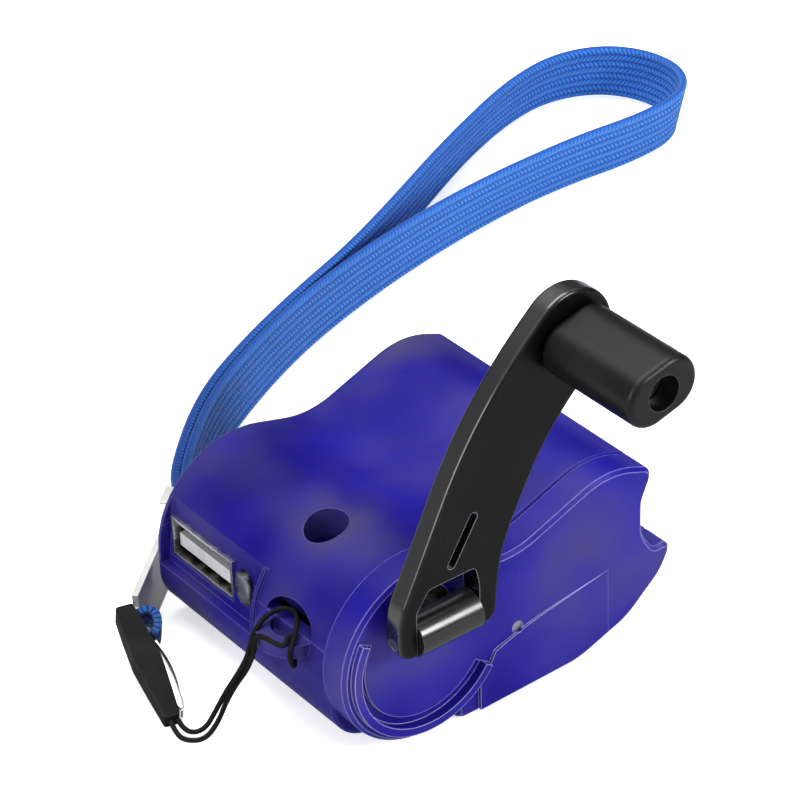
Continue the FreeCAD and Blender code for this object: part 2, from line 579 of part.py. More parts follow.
save("idler_axles", Part.makeCompound([
    rod_y(FIRST_X, FIRST_Z, AXLE_R, COVER_FACE + 0.6, PLATE_Y[1]),
    rod_y(SECOND_X, SECOND_Z, AXLE_R, COVER_FACE + 0.1, PLATE_Y[1])]))
save("rotor_pinion", gear(ROTOR_X, ROTOR_Z, ROTOR_TEETH, rotor_phase, (-14.0, -11.8)).cut(
    rod_y(ROTOR_X, ROTOR_Z, ROTOR_SHAFT_R, -15, -11)))
save("rotor_shaft", rod_y(ROTOR_X, ROTOR_Z, ROTOR_SHAFT_R, -14.2, CAN_Y[1] - 0.05))
save("rotor_magnet", tube_y(ROTOR_X, ROTOR_Z, MAGNET_R, ROTOR_SHAFT_R, CORE_Y[0] + 0.3, CORE_Y[1] - 0.3))

# ---------------------------------------------------------------- generator
can = rod_y(ROTOR_X, ROTOR_Z, CAN_R, *CAN_Y)
can = can.cut(rod_y(ROTOR_X, ROTOR_Z, CAN_R - CAN_WALL, CAN_Y[0] - 1, CAN_Y[1] - CAN_END))
can = can.cut(rod_y(ROTOR_X, ROTOR_Z, ROTOR_SHAFT_R + RUN, CAN_Y[1] - 2, CAN_Y[1] + 1))
for i in range(4):
    angle = math.radians(45 + 90 * i)
    can = can.cut(rod_y(ROTOR_X + CAN_VENT_OUT * math.cos(angle), ROTOR_Z + CAN_VENT_OUT * math.sin(angle),
                        CAN_VENT_R, CAN_Y[1] - 2, CAN_Y[1] + 1))
save("generator_can", can)

core = tube_y(ROTOR_X, ROTOR_Z, CAN_R - CAN_WALL, CORE_INNER_R, *CORE_Y)
coils = []
for i in range(POLES):
    degrees = 360.0 * i / POLES + 30
    stem = box(POLE_TIP_R, CORE_INNER_R + 0.2, CORE_Y[0], CORE_Y[1], -0.7, 0.7)
    shoe = tube_y(0, 0, POLE_TIP_R + 0.5, POLE_TIP_R, *CORE_Y).common(box(0, 10, CORE_Y[0], CORE_Y[1], -1.9, 1.9))
    winding = box(POLE_TIP_R + 0.6, CORE_INNER_R - 0.3, CORE_Y[0] - 1.0, CORE_Y[1] + 1.0, -1.7, 1.7).cut(
        box(0, 20, CORE_Y[0], CORE_Y[1], -0.7, 0.7))
    for shape in (stem, shoe, winding):
        shape.rotate(V(0, 0, 0), V(0, -1, 0), degrees)
        shape.translate(V(ROTOR_X, 0, ROTOR_Z))
    core = core.fuse(stem).fuse(shoe)
    coils.append(winding)
save("stator_core", core.removeSplitter())
save("stator_coils", Part.makeCompound(coils))
save("rotor_bearing", tube_y(ROTOR_X, ROTOR_Z, 2.0, ROTOR_SHAFT_R + RUN, PLATE_Y[0] + 0.1, PLATE_Y[1]))

# ---------------------------------------------------------------- board, socket and light
save("circuit_board", box(*BOARD_X, *BOARD_Y, BOARD_LOW, BOARD_TOP))
usb_end = USB_FRONT + USB_DEEP
usb_inner = (USB_Y - USB_WIDE / 2 + USB_SKIN, USB_Y + USB_WIDE / 2 - USB_SKIN,
             USB_Z - USB_HIGH / 2 + USB_SKIN, USB_Z + USB_HIGH / 2 - USB_SKIN)
save("usb_shell", box(USB_FRONT, usb_end, USB_Y - USB_WIDE / 2, USB_Y + USB_WIDE / 2, BOARD_TOP,
                      USB_Z + USB_HIGH / 2).cut(box(USB_FRONT - 1, usb_end - USB_SKIN, *usb_inner)))
block = box(usb_end - USB_BLOCK, usb_end - USB_SKIN, *usb_inner)
tongue = box(USB_FRONT + TONGUE_SINK, usb_end - USB_BLOCK, USB_Y - TONGUE_WIDE / 2, USB_Y + TONGUE_WIDE / 2,
             TONGUE_LOW, TONGUE_LOW + TONGUE_THICK)
save("usb_tongue", block.fuse(tongue))
save("usb_contacts", Part.makeCompound([
    box(USB_FRONT + TONGUE_SINK + 0.4, usb_end - USB_BLOCK,
        USB_Y + y - CONTACT_WIDE / 2, USB_Y + y + CONTACT_WIDE / 2,
        TONGUE_LOW - CONTACT_THICK, TONGUE_LOW)
    for y in CONTACT_OFFSETS]))
save("charge_led", oval_x(LED_Y, LED_Z, LED_WIDE, LED_HIGH, LED_FRONT, LED_BACK))
save("led_legs", Part.makeCompound([
    box(LED_BACK - x - 0.5, LED_BACK - x, LED_Y - 0.25, LED_Y + 0.25, BOARD_TOP, LED_Z - LED_HIGH / 2)
    for x in (0.2, 1.5)]))
save("rectifier_diodes", Part.makeCompound([
    box(DIODE_X, DIODE_X + DIODE[0], y, y + DIODE[1], BOARD_TOP, BOARD_TOP + DIODE[2]) for y in DIODE_Y]))
save("regulator_chip", box(CHIP_CORNER[0], CHIP_CORNER[0] + CHIP[0], CHIP_CORNER[1], CHIP_CORNER[1] + CHIP[1],
                           BOARD_TOP, BOARD_TOP + CHIP[2]))
save("smoothing_capacitor", rod_z(*CAPACITOR_AT, CAN_PART_R, BOARD_TOP, BOARD_TOP + CAPACITOR_HIGH))
save("storage_inductor", rod_z(*INDUCTOR_AT, CAN_PART_R, BOARD_TOP, BOARD_TOP + INDUCTOR_HIGH))

# ---------------------------------------------------------------- crank
HINGE_Y = COVER_FACE - BARREL_LIFT - BARREL_R
HINGE = V(CRANK_X, HINGE_Y, CRANK_Z)
EAR_IN = BARREL_LENGTH / 2 + EAR_GAP
EAR_OUT = EAR_IN + EAR_WIDTH
ARM_FRONT, ARM_BACK = HINGE_Y - ARM_THICK / 2, HINGE_Y + ARM_THICK / 2
KNOB_NEAR = ARM_FRONT - KNOB_GAP
KNOB_FAR = KNOB_NEAR - KNOB_LENGTH
KNOB_X, KNOB_Z = CRANK_X + KNOB_OUT_X, CRANK_Z + KNOB_OUT_Z


def on_arm(u, v):
    """Point of the arm's plane, from the hinge centre."""
    return V(CRANK_X + u, 0, CRANK_Z + v)


def bar_x(radius, half):
    """Round bar along X, centred on the hinge."""
    return Part.makeCylinder(radius, 2 * half, HINGE - V(half, 0, 0), V(1, 0, 0))


def stadium(start, end, radius, y0, y1, place=on_arm):
    """Oval bar along Y round the line from start to end."""
    along = V(end[0] - start[0], end[1] - start[1], 0)
    along.normalize()
    side = V(-along.y, along.x, 0)
    reach = radius * 0.999
    corners = []
    for point, sense in ((start, -1), (end, 1)):
        for flank in (sense, -sense):
            corner = V(point[0], point[1], 0) + along * (sense * radius) + side * (flank * radius)
            corners.append((corner.x, corner.y, reach))
    return slab(rounded_wire(corners, place), y0, y1)


def crank_hub():
    """Drive shaft with its flat, snap groove and the hinge barrel across its end."""
    shaft = rod_y(CRANK_X, CRANK_Z, CRANK_SHAFT_R, HINGE_Y, SHAFT_END_Y)
    shaft = shaft.cut(box(CRANK_X - 5, CRANK_X + 5, STAGE_ONE_Y[0] - 0.05, SHAFT_END_Y + 1,
                          CRANK_Z + CRANK_SHAFT_R - SHAFT_FLAT, CRANK_Z + 5))
    shaft = shaft.cut(tube_y(CRANK_X, CRANK_Z, CRANK_SHAFT_R + 1, CLIP_INNER_R, *CLIP_Y))
    hub = bar_x(BARREL_R, BARREL_LENGTH / 2).fuse(shaft)
    return hub.cut(bar_x(HINGE_PIN_R + RUN, BARREL_LENGTH))


def crank_arm():
    """Curved arm with a fork that straddles the barrel."""
    tip = math.radians(TIP_ANGLE)
    along, left = (math.cos(tip), math.sin(tip)), (-math.sin(tip), math.cos(tip))

    def beside_tip(forward, sideways, radius):
        return (KNOB_OUT_X + (along[0] * forward + left[0] * sideways) * ARM_TIP_R,
                KNOB_OUT_Z + (along[1] * forward + left[1] * sideways) * ARM_TIP_R, radius)

    corners = [(-EAR_OUT, -EAR_END, EAR_ROUND), (-EAR_OUT, 3.8, 8.0), (4.8, 27.6, 60.0),
               beside_tip(1, 1, ARM_TIP_R * 0.999), beside_tip(1, -1, ARM_TIP_R * 0.999),
               (15.2, 20.8, 38.0), (7.9, 7.1, 22.0), (EAR_OUT, -EAR_END, EAR_ROUND)]
    arm = slab(rounded_wire(corners, on_arm), ARM_FRONT, ARM_BACK)
    arm = arm.makeFillet(ARM_ROUND, end_edges(arm, ARM_FRONT) + end_edges(arm, ARM_BACK))
    window = [(-EAR_IN, -8.0, 0.3), (-EAR_IN, WINDOW_TOP - 2.6, 1.0), (-EAR_IN + 1.9, WINDOW_TOP, 1.0),
              (EAR_IN - 0.5, WINDOW_TOP, 0.8), (EAR_IN, WINDOW_TOP - 2.6, 1.0), (EAR_IN, -8.0, 0.3)]
    arm = arm.cut(slab(rounded_wire(window, on_arm), ARM_FRONT - 1, ARM_BACK + 1))
    arm = arm.cut(stadium(SLIT_START, SLIT_END, SLIT_R, ARM_FRONT - 1, ARM_BACK + 1))
    arm = arm.cut(bar_x(HINGE_PIN_R, EAR_OUT + 1))
    return arm.cut(rod_y(KNOB_X, KNOB_Z, KNOB_PIN_R, ARM_FRONT - 1, ARM_BACK + 1))


def crank_knob():
    """Oval grip that turns on its screw."""
    tilt = math.radians(KNOB_TILT)
    half = (KNOB_LONG - KNOB_SHORT) / 2
    start = (KNOB_OUT_X - half * math.cos(tilt), KNOB_OUT_Z - half * math.sin(tilt))
    end = (KNOB_OUT_X + half * math.cos(tilt), KNOB_OUT_Z + half * math.sin(tilt))
    knob = stadium(start, end, KNOB_SHORT / 2, KNOB_FAR, KNOB_NEAR)
    knob = knob.makeFillet(KNOB_ROUND, end_edges(knob, KNOB_FAR) + end_edges(knob, KNOB_NEAR))
    knob = knob.cut(rod_y(KNOB_X, KNOB_Z, KNOB_PIN_R + RUN, KNOB_FAR - 1, KNOB_NEAR + 1))
    return knob.cut(rod_y(KNOB_X, KNOB_Z, KNOB_HEAD_R + FIT, KNOB_FAR - 1, KNOB_FAR + KNOB_WELL))


save("crank_hub", crank_hub())
save("hinge_pin", bar_x(HINGE_PIN_R, EAR_OUT - PIN_SINK))
save("crank_arm", crank_arm())
save("crank_knob", crank_knob())
save("knob_screw", pan_screw(V(KNOB_X, KNOB_FAR + KNOB_WELL - RUN, KNOB_Z), V(0, 1, 0),
                             ARM_BACK - KNOB_FAR - KNOB_WELL + RUN, KNOB_HEAD_R, KNOB_HEAD_H, KNOB_PIN_R))

# ---------------------------------------------------------------- strap and its fittings
def ribbon(route, low, high, thick):
    """Flat band standing on edge along a route in plan."""
    path, radii, length = route_path([V(x, y, low) for x, y in route])
    sides = [path.makeOffset2D(offset, 0, False, True) for offset in (-thick / 2, thick / 2)]
    ends = [[w.OrderedVertexes[0].Point, w.OrderedVertexes[-1].Point] for w in sides]
    if ends[0][0].distanceToPoint(ends[1][0]) > ends[0][0].distanceToPoint(ends[1][1]):
        ends[1].reverse()
    edges = sides[0].Edges + sides[1].Edges
    edges += [Part.LineSegment(ends[0][i], ends[1][i]).toShape() for i in (0, 1)]
    outline = Part.Wire(Part.__sortEdges__(edges))
    return Part.Face(outline).extrude(V(0, 0, high - low)), radii, length


strap, strap_radii, strap_length = ribbon(STRAP_ROUTE, STRAP_LOW, STRAP_LOW + STRAP_WIDE, STRAP_THICK)
print("strap arcs", " ".join("%.1f" % r for r in strap_radii))
print("strap length %.1f, volume %.1f, section x length %.1f" % (
    strap_length, strap.Volume, strap_length * STRAP_THICK * STRAP_WIDE))
save("wrist_strap", strap)

cord_path, cord_radii, cord_length = route_path([V(*p) for p in CORD_ROUTE])
start = V(*CORD_ROUTE[0])
direction = V(*CORD_ROUTE[1]) - start
ring = Part.Wire(Part.Circle(start, direction, CORD_R).toShape())
cord = cord_path.makePipeShell([ring], True, True)
print("cord arcs", " ".join("%.1f" % r for r in cord_radii))
print("cord length %.1f, volume %.2f, section x length %.2f" % (
    cord_length, cord.Volume, cord_length * math.pi * CORD_R ** 2))
save("lanyard_cord", cord)


def along_line(shape, start, end):
    """Turn a piece drawn along X onto the line from start to end, with its Z as upright as it can be."""
    run = V(*end) - V(*start)
    placed = shape.copy()
    placed.rotate(V(0, 0, 0), V(0, -1, 0), math.degrees(math.atan2(run.z, math.hypot(run.x, run.y))))
    placed.rotate(V(0, 0, 0), V(0, 0, 1), math.degrees(math.atan2(run.y, run.x)))
    placed.translate(V(*start))
    return placed


def on_crimp(shape):
    """Put a piece drawn along X, with +Y towards the case, at the crimp's place."""
    start = (*CRIMP_NEAR, 0)
    return along_line(shape, start, (start[0] + CRIMP_ALONG[0], start[1] + CRIMP_ALONG[1], 0))


def plan_slab(points, z0, z1):
    """Extrude a closed outline in plan from z0 to z1."""
    outline = [V(x, y, z0) for x, y in points]
    return Part.Face(Part.makePolygon(outline + [outline[0]])).extrude(V(0, 0, z1 - z0))


def side_slab(points, half):
    """Extrude a closed outline drawn in XZ to both sides of it."""
    outline = [V(x, 0, z) for x, z in points]
    return slab(Part.makePolygon(outline + [outline[0]]), -half, half)


CRIMP_HALF = CRIMP_INSIDE / 2 + CRIMP_SKIN
HOOK_Y = (PLATE_SIDE - PLATE_THICK, PLATE_SIDE)


def strap_crimp():
    """Folded plate: a cap closed over the strap's ends, pressed into a flat plate with a hook for the clip."""
    cap = box(0, CAP_LONG, -CRIMP_HALF, CRIMP_HALF, 0, CRIMP_HIGH)
    cap = cap.cut(box(-1, CAP_LONG - CRIMP_SKIN, -CRIMP_INSIDE / 2, CRIMP_INSIDE / 2, -1, CRIMP_HIGH - CRIMP_SKIN))
    root = CAP_LONG - CRIMP_SKIN / 2
    plate = plan_slab([(root, -CRIMP_HALF), (PLATE_START, HOOK_Y[0]), (PLATE_END, HOOK_Y[0]), (PLATE_END, HOOK_Y[1]),
                       (PLATE_START, HOOK_Y[1]), (root, CRIMP_HALF)], 0, CRIMP_HIGH)
    plate = plate.common(side_slab([(root, 0), (PLATE_END, 0), (PLATE_END, PLATE_HIGH), (PLATE_START, PLATE_HIGH),
                                    (root, CRIMP_HIGH)], CRIMP_HALF + 1))
    hook = box(PLATE_END - 0.5, HOOK_END, *HOOK_Y, *HOOK_Z)
    return on_crimp(cap.fuse(plate).fuse(hook))


def connector_clip():
    """Moulded clip that slopes down from the hook to the cord, with a mouth for the hook."""
    length = (V(*CLIP_FAR) - V(*CLIP_NEAR)).Length - CORD_GAP
    halves = CLIP_HALVES + [(length, CLIP_END_HALF)]
    body = plan_slab([(x, -half) for x, half in halves] + [(x, half) for x, half in reversed(halves)],
                     -CLIP_THICK / 2, CLIP_THICK / 2)
    upright = [edge for edge in body.Edges if abs(edge.Vertexes[0].Z - edge.Vertexes[-1].Z) > 1]
    body = body.makeFillet(CLIP_ROUND, upright)
    low = CLIP_THICK / 2 - CLIP_END_THICK
    body = body.common(side_slab([(-1, -3), (length + 1, -3), (length + 1, -low), (0.6 * length, CLIP_THICK / 2),
                                  (-1, CLIP_THICK / 2)], 5))
    mouth = box(PLATE_END - 1, HOOK_END + FIT, HOOK_Y[0] - FIT, HOOK_Y[1] + FIT, HOOK_Z[0] - FIT, HOOK_Z[1] + FIT)
    return along_line(body, CLIP_NEAR, CLIP_FAR).cut(on_crimp(mouth))


def clip_spring():
    """Bowed leaf spring on the side of the clip that faces the case."""
    bows = [[V(x, y + offset, -LEAF_HALF) for x, y in LEAF_BOW] for offset in (0, LEAF_THICK)]
    edges = [Part.Arc(*bow).toShape() for bow in bows]
    edges += [Part.LineSegment(bows[0][i], bows[1][i]).toShape() for i in (0, 2)]
    leaf = Part.Face(Part.Wire(Part.__sortEdges__(edges))).extrude(V(0, 0, 2 * LEAF_HALF))
    return along_line(leaf, CLIP_NEAR, CLIP_FAR)


save("strap_crimp", strap_crimp())
save("connector_clip", connector_clip())
save("clip_spring", clip_spring())
print("parts written")
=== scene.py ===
"""Looks of a hand crank phone charger: finishes, woven strap, cord and studio round the CAD frame."""
from __future__ import annotations

import json
import logging
import math
from collections.abc import Sequence
from dataclasses import dataclass
from enum import Enum

import bpy
from mathutils import Matrix, Vector

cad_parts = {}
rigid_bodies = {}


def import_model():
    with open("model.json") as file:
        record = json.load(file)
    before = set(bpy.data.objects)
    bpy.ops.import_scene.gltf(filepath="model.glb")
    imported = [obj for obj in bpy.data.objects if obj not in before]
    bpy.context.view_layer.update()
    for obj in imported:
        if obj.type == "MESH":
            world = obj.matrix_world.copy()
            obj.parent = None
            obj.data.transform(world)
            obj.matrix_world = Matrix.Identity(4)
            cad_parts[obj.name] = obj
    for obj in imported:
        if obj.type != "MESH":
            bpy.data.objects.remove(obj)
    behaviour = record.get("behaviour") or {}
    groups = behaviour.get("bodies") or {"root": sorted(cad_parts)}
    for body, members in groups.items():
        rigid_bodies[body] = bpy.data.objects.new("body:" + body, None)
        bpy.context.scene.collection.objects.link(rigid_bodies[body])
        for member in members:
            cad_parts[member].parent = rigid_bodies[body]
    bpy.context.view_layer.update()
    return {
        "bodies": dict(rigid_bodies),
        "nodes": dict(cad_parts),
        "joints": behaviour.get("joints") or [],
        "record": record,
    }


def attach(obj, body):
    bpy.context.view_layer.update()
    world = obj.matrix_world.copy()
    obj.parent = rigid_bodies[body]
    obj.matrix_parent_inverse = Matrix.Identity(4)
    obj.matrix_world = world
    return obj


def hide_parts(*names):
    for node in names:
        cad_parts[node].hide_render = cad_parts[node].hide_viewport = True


LOG = logging.getLogger("crank_charger")
MM = 0.001
USB_FRONT = -25.2 * MM
CLIP_NEAR = (-34.5, 17.2, 6.15)
CLIP_FAR = (-38.7, 0.8, 1.25)
CLIP_SMOOTH = math.radians(50.0)
SPLINE_ORDER = 3
TAPE_MAP = "tape"
Colour = tuple[float, float, float]
Point = tuple[float, float, float]
PlanPoint = tuple[float, float]


class Body(Enum):
    """The body that the added pieces ride on."""

    CASE = "case"


class Mix(Enum):
    """What a Mix node mixes: its data type, and the places of factor, first and second value and result."""

    NUMBER = ("FLOAT", 0, 2, 3, 0)
    COLOUR = ("RGBA", 0, 6, 7, 2)


class Finish(Enum):
    """The charger's finishes, by the names of their materials."""

    FROSTED_BLUE = "frosted_blue"
    FROSTED_COVER = "frosted_cover"
    BLACK_ARM = "black_arm"
    BLACK_MOULDING = "black_moulding"
    GLOSS_BLACK = "gloss_black"
    BLACK_CLIP = "black_clip"
    GREY_TONGUE = "grey_tongue"
    NATURAL_NYLON = "natural_nylon"
    SOLDER_RESIST = "solder_resist"
    COMPONENT_BLACK = "component_black"
    CLEAR_EPOXY = "clear_epoxy"
    FERRITE = "ferrite"
    BLACK_CORD = "black_cord"
    NICKEL = "nickel"
    SOCKET_NICKEL = "socket_nickel"
    PALE_PLATE = "pale_plate"
    ZINC = "zinc"
    GROUND_STEEL = "ground_steel"
    LAMINATION = "lamination"
    DARK_STEEL = "dark_steel"
    TURNED_BRASS = "turned_brass"
    GOLD_PLATE = "gold_plate"
    COPPER = "copper"
    AZURE_WEBBING = "azure_webbing"
    SHADED_WEBBING = "shaded_webbing"


# ---------------------------------------------------------------- shader helpers
def new_material(name: str) -> tuple[bpy.types.Material, bpy.types.NodeTree, bpy.types.Node]:
    """Make an empty node material.

    Args:
        name: the material's name.

    Returns:
        The material, its node tree and its Principled BSDF.
    """
    material = bpy.data.materials.new(name)
    material.use_nodes = True
    tree = material.node_tree
    return material, tree, tree.nodes["Principled BSDF"]


def put(tree: bpy.types.NodeTree, target: bpy.types.NodeSocket, value: object) -> None:
    """Link a socket to an input, or set the input to a number or a colour.

    Args:
        tree: the node tree.
        target: the input.
        value: the socket, number or colour that it gets.
    """
    if isinstance(value, bpy.types.NodeSocket):
        tree.links.new(value, target)
    elif isinstance(value, tuple):
        target.default_value = (*value, 1.0)
    else:
        target.default_value = value


def set_inputs(node: bpy.types.Node, values: dict[str, float]) -> None:
    """Set a node's inputs by name."""
    for key, value in values.items():
        node.inputs[key].default_value = value


def add_group(tree: bpy.types.NodeTree, group: bpy.types.NodeTree, **values: float) -> bpy.types.Node:
    """Place a shared effect in a material.

    Args:
        tree: the material's node tree.
        group: the effect's node group.
        values: the effect's inputs by name.

    Returns:
        The group node.
    """
    node = tree.nodes.new("ShaderNodeGroup")
    node.node_tree = group
    set_inputs(node, values)
    return node


def math_node(tree: bpy.types.NodeTree, operation: str, *inputs: object) -> bpy.types.NodeSocket:
    """Add a Math node.

    Args:
        tree: the node tree.
        operation: the Math node's operation.
        inputs: sockets or numbers, in order.

    Returns:
        The node's output socket.
    """
    node = tree.nodes.new("ShaderNodeMath")
    node.operation = operation
    for target, value in zip(node.inputs, inputs):
        put(tree, target, value)
    return node.outputs[0]


def mix_node(tree: bpy.types.NodeTree, kind: Mix, factor: object, first: object, second: object,
             blend: str = "MIX") -> bpy.types.NodeSocket:
    """Mix two numbers or colours.

    Args:
        tree: the node tree.
        kind: what is mixed.
        factor: socket or number, 0 for the first value.
        first: socket, number or colour.
        second: socket, number or colour.
        blend: how a second colour goes onto the first.

    Returns:
        The socket of the mixed value.
    """
    data_type, factor_at, first_at, second_at, result_at = kind.value
    node = tree.nodes.new("ShaderNodeMix")
    node.data_type = data_type
    node.blend_type = blend
    for place, value in ((factor_at, factor), (first_at, first), (second_at, second)):
        put(tree, node.inputs[place], value)
    return node.outputs[result_at]


def map_range(tree: bpy.types.NodeTree, value: bpy.types.NodeSocket, span: tuple[float, float],
              result: tuple[object, object] = (0.0, 1.0), smooth: bool = False) -> bpy.types.NodeSocket:
    """Carry a value from one span to another, and hold it there.

    Args:
        tree: the node tree.
        value: the value's socket.
        span: the value's low and high end.
        result: sockets or numbers for the result's low and high end.
        smooth: whether the result eases in and out.

    Returns:
        The result's socket.
    """
    node = tree.nodes.new("ShaderNodeMapRange")
    node.interpolation_type = "SMOOTHSTEP" if smooth else "LINEAR"
    tree.links.new(value, node.inputs["Value"])
    for key, given in zip(("From Min", "From Max", "To Min", "To Max"), (*span, *result)):
        put(tree, node.inputs[key], given)
    return node.outputs["Result"]


def coordinate(tree: bpy.types.NodeTree, kind: str, axis: str) -> bpy.types.NodeSocket:
    """One axis of a texture coordinate.

    Args:
        tree: the node tree.
        kind: the Texture Coordinate node's output.
        axis: X, Y or Z.

    Returns:
        The socket of the number along the axis.
    """
    place = tree.nodes.new("ShaderNodeTexCoord")
    parts = tree.nodes.new("ShaderNodeSeparateXYZ")
    tree.links.new(place.outputs[kind], parts.inputs[0])
    return parts.outputs[axis]


class EffectLibrary:
    """Shared surface effects, each a node group that is built once."""

    GRAIN_DETAIL = 3.0
    EDGE_SAMPLES = 6
    SMUDGE_DETAIL = 2.0
    SMUDGE_SPAN = (0.2, 0.8)

    def __init__(self) -> None:
        """Build every group."""
        self.grain = self._grain()
        self.smudge = self._smudge()

    def vary(self, tree: bpy.types.NodeTree, scale: float, low: float = 0.0,
             high: float = 1.0) -> bpy.types.NodeSocket:
        """Place the soft variation in a material.

        Args:
            tree: the material's node tree.
            scale: the variation's scale.
            low: its lowest value.
            high: its highest value.

        Returns:
            The socket of the varying value.
        """
        return add_group(tree, self.smudge, Scale=scale, Low=low, High=high).outputs["Value"]

    @staticmethod
    def _start(name: str, inputs: dict[str, float],
               outputs: Sequence[str]) -> tuple[bpy.types.NodeTree, bpy.types.Node, bpy.types.Node]:
        """Make an empty group with float inputs.

        Args:
            name: the group's name.
            inputs: input names with their defaults.
            outputs: output names; one called Normal is a vector.

        Returns:
            The node group, its input node and its output node.
        """
        group = bpy.data.node_groups.new(name, "ShaderNodeTree")
        for key, value in inputs.items():
            socket = group.interface.new_socket(name=key, in_out="INPUT", socket_type="NodeSocketFloat")
            socket.default_value = value
        for key in outputs:
            kind = "NodeSocketVector" if key == "Normal" else "NodeSocketFloat"
            group.interface.new_socket(name=key, in_out="OUTPUT", socket_type=kind)
        return group, group.nodes.new("NodeGroupInput"), group.nodes.new("NodeGroupOutput")

    @staticmethod
    def _noise(group: bpy.types.NodeTree, scale: bpy.types.NodeSocket,
               detail: float) -> bpy.types.NodeSocket:
        """Noise on the piece's own coordinates.

        Args:
            group: the node group.
            scale: the socket of the noise's scale.
            detail: the noise's detail.

        Returns:
            The socket of the noise's value.
        """
        coordinates = group.nodes.new("ShaderNodeTexCoord")
        noise = group.nodes.new("ShaderNodeTexNoise")
        noise.inputs["Detail"].default_value = detail
        group.links.new(coordinates.outputs["Object"], noise.inputs["Vector"])
        group.links.new(scale, noise.inputs["Scale"])
        return noise.outputs["Fac"]

    def _grain(self) -> bpy.types.NodeTree:
        """Fine moulded grain over softly rounded edges, as a normal, with a mask of those edges.

        Returns:
            The node group.
        """
        inputs = {"Scale": 4000.0, "Strength": 0.1, "Depth": 0.02 * MM, "Rounding": 0.15 * MM}
        group, given, out = self._start("fine_grain", inputs, ["Normal", "Edge"])
        noise = self._noise(group, given.outputs["Scale"], self.GRAIN_DETAIL)
        bump = group.nodes.new("ShaderNodeBump")
        rounded = group.nodes.new("ShaderNodeBevel")
        rounded.samples = self.EDGE_SAMPLES
        surface = group.nodes.new("ShaderNodeNewGeometry")
        turn = group.nodes.new("ShaderNodeVectorMath")
        turn.operation = "DOT_PRODUCT"
        edge = math_node(group, "SUBTRACT", 1.0, turn.outputs["Value"])
        for source, target in ((given.outputs["Rounding"], rounded.inputs["Radius"]),
                               (rounded.outputs["Normal"], bump.inputs["Normal"]),
                               (rounded.outputs["Normal"], turn.inputs[0]),
                               (surface.outputs["Normal"], turn.inputs[1]),
                               (given.outputs["Strength"], bump.inputs["Strength"]),
                               (given.outputs["Depth"], bump.inputs["Distance"]),
                               (noise, bump.inputs["Height"]),
                               (bump.outputs["Normal"], out.inputs["Normal"]),
                               (edge, out.inputs["Edge"])):
            group.links.new(source, target)
        return group

    def _smudge(self) -> bpy.types.NodeTree:
        """Broad soft variation between two values.

        Returns:
            The node group.
        """
        inputs = {"Scale": 60.0, "Low": 0.3, "High": 0.5}
        group, given, out = self._start("soft_variation", inputs, ["Value"])
        noise = self._noise(group, given.outputs["Scale"], self.SMUDGE_DETAIL)
        ends = (given.outputs["Low"], given.outputs["High"])
        group.links.new(map_range(group, noise, self.SMUDGE_SPAN, ends, smooth=True), out.inputs["Value"])
        return group


# ---------------------------------------------------------------- finishes
@dataclass(frozen=True)
class Plastic:
    """Moulded plastic with a fine grain, soft gloss changes and a painted highlight along its edges."""

    finish: Finish
    colour: Colour
    dark: Colour
    rough: float = 0.4
    rough_spread: float = 0.08
    grain_scale: float = 5000.0
    grain_strength: float = 0.12
    patch_scale: float = 90.0
    gloss_ratio: float = 2.3
    transmission: float = 0.0
    coat: float = 0.0
    coat_rough: float = 0.15
    side_coat: float = 0.0
    side_coat_ior: float = 1.9
    specular: float = 0.5
    ior: float = 1.49
    rounding: float = 0.15 * MM
    edge_highlight: float = 0.5
    edge_highlight_limit: float = 0.5
    edge_highlight_colour: Colour | None = None
    edge_highlight_share: float = 0.6
    edge_highlight_lift: float = 0.12
    cloud: Colour | None = None
    cloud_scale: float = 55.0
    cloud_power: float = 2.0
    cloud_share: float = 0.5

    def build(self, effects: EffectLibrary) -> bpy.types.Material:
        """Make the material.

        Args:
            effects: the shared effects.

        Returns:
            The material.
        """
        material, tree, shader = new_material(self.finish.value)
        grain = add_group(tree, effects.grain, Scale=self.grain_scale, Strength=self.grain_strength,
                          Rounding=self.rounding)
        tree.links.new(grain.outputs["Normal"], shader.inputs["Normal"])
        # Painted highlight: the rounded edges are mixed towards a pale colour, up to a limit.
        edge_highlight_mask = math_node(tree, "MULTIPLY", grain.outputs["Edge"], self.edge_highlight)
        edge_highlight_mask = math_node(tree, "MINIMUM", edge_highlight_mask, self.edge_highlight_limit)
        edge_highlight_colour = self.edge_highlight_colour or tuple(self.edge_highlight_share * part + self.edge_highlight_lift for part in self.colour)
        colour = mix_node(tree, Mix.COLOUR, edge_highlight_mask, self._body(tree, effects), edge_highlight_colour)
        tree.links.new(colour, shader.inputs["Base Color"])
        rough = effects.vary(tree, self.patch_scale * self.gloss_ratio, self.rough - self.rough_spread,
                             self.rough + self.rough_spread)
        tree.links.new(rough, shader.inputs["Roughness"])
        set_inputs(shader, {"Transmission Weight": self.transmission, "Specular IOR Level": self.specular,
                            "IOR": self.ior, "Coat Weight": self.coat, "Coat Roughness": self.coat_rough})
        if self.side_coat:
            facing = math_node(tree, "ABSOLUTE", coordinate(tree, "Normal", "Y"))
            sideways = math_node(tree, "SUBTRACT", 1.0, facing)
            put(tree, shader.inputs["Coat Weight"], math_node(tree, "MULTIPLY", sideways, self.side_coat))
            shader.inputs["Coat IOR"].default_value = self.side_coat_ior
        return material

    def _body(self, tree: bpy.types.NodeTree, effects: EffectLibrary) -> bpy.types.NodeSocket:
        """Colour of the plastic away from its edges, with paler clouds where the finish has them.

        Args:
            tree: the material's node tree.
            effects: the shared effects.

        Returns:
            The colour's socket.
        """
        colour = mix_node(tree, Mix.COLOUR, effects.vary(tree, self.patch_scale), self.dark, self.colour)
        if not self.cloud:
            return colour
        clouds = math_node(tree, "POWER", effects.vary(tree, self.cloud_scale), self.cloud_power)
        share = math_node(tree, "MULTIPLY", clouds, self.cloud_share)
        return mix_node(tree, Mix.COLOUR, share, colour, self.cloud)


